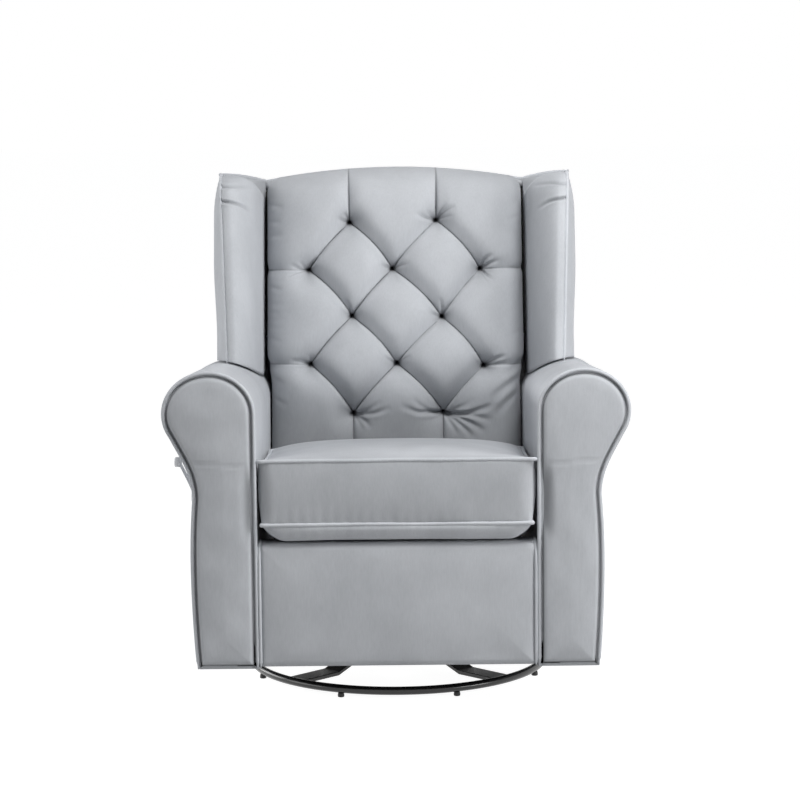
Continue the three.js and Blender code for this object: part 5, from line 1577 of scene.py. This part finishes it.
class RECLINER_OT_base(Operator):
    """Builds the round tube, its cross and its glides"""

    bl_idname = "recliner.base"
    bl_label = "Ring base"

    def execute(self, context):
        path = np.column_stack([circle(RING_RADIUS, 180), np.full(180, RING_MIDDLE)])
        skin = loft(cord_rings(path, RING_TUBE, closed=True, sides=24), capped=False)
        ring = make_piece("ring_tube", skin, "gloss", "base")
        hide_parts("base_ring")
        for number, turn, lift in ((1, math.pi / 4, 0), (2, -math.pi / 4, 0.05 * MM)):
            skin = cross_bar(turn, lift)
            bar = make_piece(f"cross_bar_{number}", skin, "gloss", "base", smooth=False)
            soften(bar, context.scene.recliner_base.bevel, 50)
            if number == 1:
                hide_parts("base_cross")
        for number in range(1, GLIDES + 1):
            turn = (number - 0.5) / GLIDES * 2 * math.pi
            centre = RING_RADIUS * np.array([math.cos(turn), math.sin(turn)])
            rings = [
                np.column_stack([centre + circle(radius * MM, 24), np.full(24, height * MM)])
                for radius, height in GLIDE_PROFILE
            ]
            foot = make_piece(f"ring_glide_{number}", loft(rings), "rubber", "base")
            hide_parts(f"foot_glide_{number}")
        return {"FINISHED"}


def button(start, end, y, z, radius):
    """A round knob with soft edges along X."""
    soft = 3 * MM
    profile = [(start, radius * 0.8), (start, radius - soft * 0.4), (start + soft * 0.5, radius)]
    profile += [(end - soft, radius), (end - soft * 0.4, radius - soft * 0.35)]
    profile += [(end, radius - soft), (end, radius * 0.3)]
    return loft([np.column_stack([np.full(28, x), circle(size, 28) + [y, z]]) for x, size in profile])


def lever_skin():
    """The moulded lever: a round hub, a thin stem that leans outwards and a knob at its tip."""
    line = spline(LEVER_STEM)
    sizes = np.interp(np.linspace(0, 1, len(line)), STEM_SHARES, STEM_SIZES) * MM
    # Each section of the stem is flat and lies across it
    section = circle(1, 20)[:, [0, 1, 1]] * [0.42, 0.7, 0.7]
    stem = loft([place + size * section for place, size in zip(line, sizes)])
    vertices, faces = joined(stem, button(*LEVER_HUB), button(*LEVER_KNOB))
    return mirror_x(vertices, -1) + LEVER_PIVOT, faces


class RECLINER_OT_mechanism(Operator):
    """Makes the lever's handle and finishes the metal, timber and webbing that the frame brings"""

    bl_idname = "recliner.mechanism"
    bl_label = "Mechanism and frame"

    def execute(self, context):
        for finish, names in PLAIN_NODES.items():
            pairs = [f"{stem}_{side}" for stem in PAIRED_NODES.get(finish, ()) for side, _ in SIDES]
            for name in (*names, *pairs):
                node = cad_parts[name]
                if not node.material_slots:
                    node.data.materials.append(None)
                for place in node.material_slots:
                    place.material = finish_of(finish)
        lever = make_piece("lever_handle", lever_skin(), "handle", "lever")
        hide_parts("recline_lever")
        return {"FINISHED"}


# Stage


# Name, place, target, size, and the setting that holds the power
LAMPS = (
    ("Key lamp", (0.7, -1.15, 2.5), (0, 0, 0.6), 1.0, "key"),
    ("Side lamp", (2.4, -1.6, 0.95), (0, 0, 0.45), 1.2, "side"),
    ("Fill lamp", (-2.9, -0.9, 1.0), (0, 0, 0.6), 1.8, "fill"),
    ("Rim lamp", (-2.4, 1.0, 1.1), (0, 0, 0.6), 1.6, "rim"),
)


def add_lamp(name, place, target, size, power):
    """A soft square lamp that looks at a point."""
    data = bpy.data.lights.new(name, "AREA")
    data.energy = power
    data.size = size
    light = bpy.data.objects.new(name, data)
    light.location = place
    light.rotation_euler = (Vector(target) - Vector(place)).to_track_quat("-Z", "Y").to_euler()
    bpy.context.scene.collection.objects.link(light)


def seen_rays(tree, *kinds):
    """1 for any of these kinds of ray, and 0 for all others."""
    path = tree.nodes.new("ShaderNodeLightPath").outputs
    seen = path[kinds[0]]
    for kind in kinds[1:]:
        seen = math_node(tree, "MAXIMUM", seen, path[kind])
    return seen


def floor_material():
    """White floor that reads as the backdrop to the camera and keeps a soft shadow."""
    material = bpy.data.materials.new("Studio Floor")
    material.use_nodes = True
    tree = material.node_tree
    tree.nodes.clear()
    matt = add_node(tree, "ShaderNodeBsdfDiffuse", {"Color": (0.5, 0.5, 0.5, 1)}).outputs[0]
    shadow = add_node(tree, "ShaderNodeBsdfDiffuse", {"Color": (0.3, 0.3, 0.3, 1)}).outputs[0]
    glow = add_node(tree, "ShaderNodeEmission", {"Color": (1, 1, 1, 1), "Strength": 0.962}).outputs[0]
    seen = add_node(tree, "ShaderNodeAddShader", {0: shadow, 1: glow}).outputs[0]
    eye = seen_rays(tree, "Is Camera Ray", "Is Glossy Ray")
    both = add_node(tree, "ShaderNodeMixShader", {0: eye, 1: matt, 2: seen}).outputs[0]
    add_node(tree, "ShaderNodeOutputMaterial", {"Surface": both})
    return material


class RECLINER_OT_stage(Operator):
    """Sets up the floor, the lamps, the surroundings and the camera"""

    bl_idname = "recliner.stage"
    bl_label = "Stage"

    def execute(self, context):
        scene = context.scene
        stage = scene.recliner_stage
        bpy.ops.mesh.primitive_plane_add(size=60, location=(0, 0, 0))
        floor = context.object
        floor.name = "studio_floor"
        floor.data.materials.append(floor_material())

        world = bpy.data.worlds.new("Studio")
        world.use_nodes = True
        tree = world.node_tree
        surround = tree.nodes["Background"]
        fill_in(surround, {"Color": (0.97, 0.98, 1, 1), "Strength": stage.world})
        backdrop = add_node(tree, "ShaderNodeBackground", {"Color": (1, 1, 1, 1), "Strength": 1.0})
        eye = seen_rays(tree, "Is Camera Ray", "Is Glossy Ray", "Is Transmission Ray")
        inputs = {0: eye, 1: surround.outputs[0], 2: backdrop.outputs[0]}
        both = add_node(tree, "ShaderNodeMixShader", inputs).outputs[0]
        fill_in(tree.nodes["World Output"], {"Surface": both})
        scene.world = world
        for *lamp, power in LAMPS:
            add_lamp(*lamp, getattr(stage, power))

        camera = bpy.data.objects.new("Camera", bpy.data.cameras.new("Camera"))
        camera.data.lens = stage.lens
        camera.data.sensor_width = 36
        camera.data.shift_x = stage.shift
        camera.data.clip_end = 100
        camera.location = (4 * MM, -stage.distance, stage.height)
        camera.rotation_euler = (math.pi / 2 - stage.pitch, stage.roll, 0)
        scene.collection.objects.link(camera)
        scene.camera = camera
        scene.view_settings.view_transform = "Standard"
        return {"FINISHED"}


# Add-on


class RECLINER_PT_panel(Panel):
    """Lists the chair's pieces"""

    bl_idname = "RECLINER_PT_panel"
    bl_label = "Swivel glider recliner"
    bl_space_type = "VIEW_3D"
    bl_region_type = "UI"
    bl_category = "Recliner"

    def draw(self, context):
        for operator in OPERATORS:
            self.layout.operator(operator.bl_idname)
        for name, settings in SETTINGS.items():
            box = self.layout.box()
            box.label(text=settings.__doc__)
            for key in settings.__annotations__:
                box.prop(getattr(context.scene, name), key)


OPERATORS = (
    RECLINER_OT_base,
    RECLINER_OT_mechanism,
    RECLINER_OT_seat_cushion,
    RECLINER_OT_arms,
    RECLINER_OT_legrest,
    RECLINER_OT_tufted_back,
    RECLINER_OT_wings,
    RECLINER_OT_outside_back,
    RECLINER_OT_rear_skirt,
    RECLINER_OT_stage,
)
CLASSES = (*SETTINGS.values(), *OPERATORS, RECLINER_PT_panel)


def register():
    for cls in CLASSES:
        bpy.utils.register_class(cls)
    for name, settings in SETTINGS.items():
        setattr(bpy.types.Scene, name, PointerProperty(type=settings))


def unregister():
    for name in SETTINGS:
        delattr(bpy.types.Scene, name)
    for cls in reversed(CLASSES):
        bpy.utils.unregister_class(cls)


def build_recliner():
    register()
    for operator in OPERATORS:
        group, name = operator.bl_idname.split(".")
        getattr(getattr(bpy.ops, group), name)()


if __name__ == "__main__":
    build_recliner()
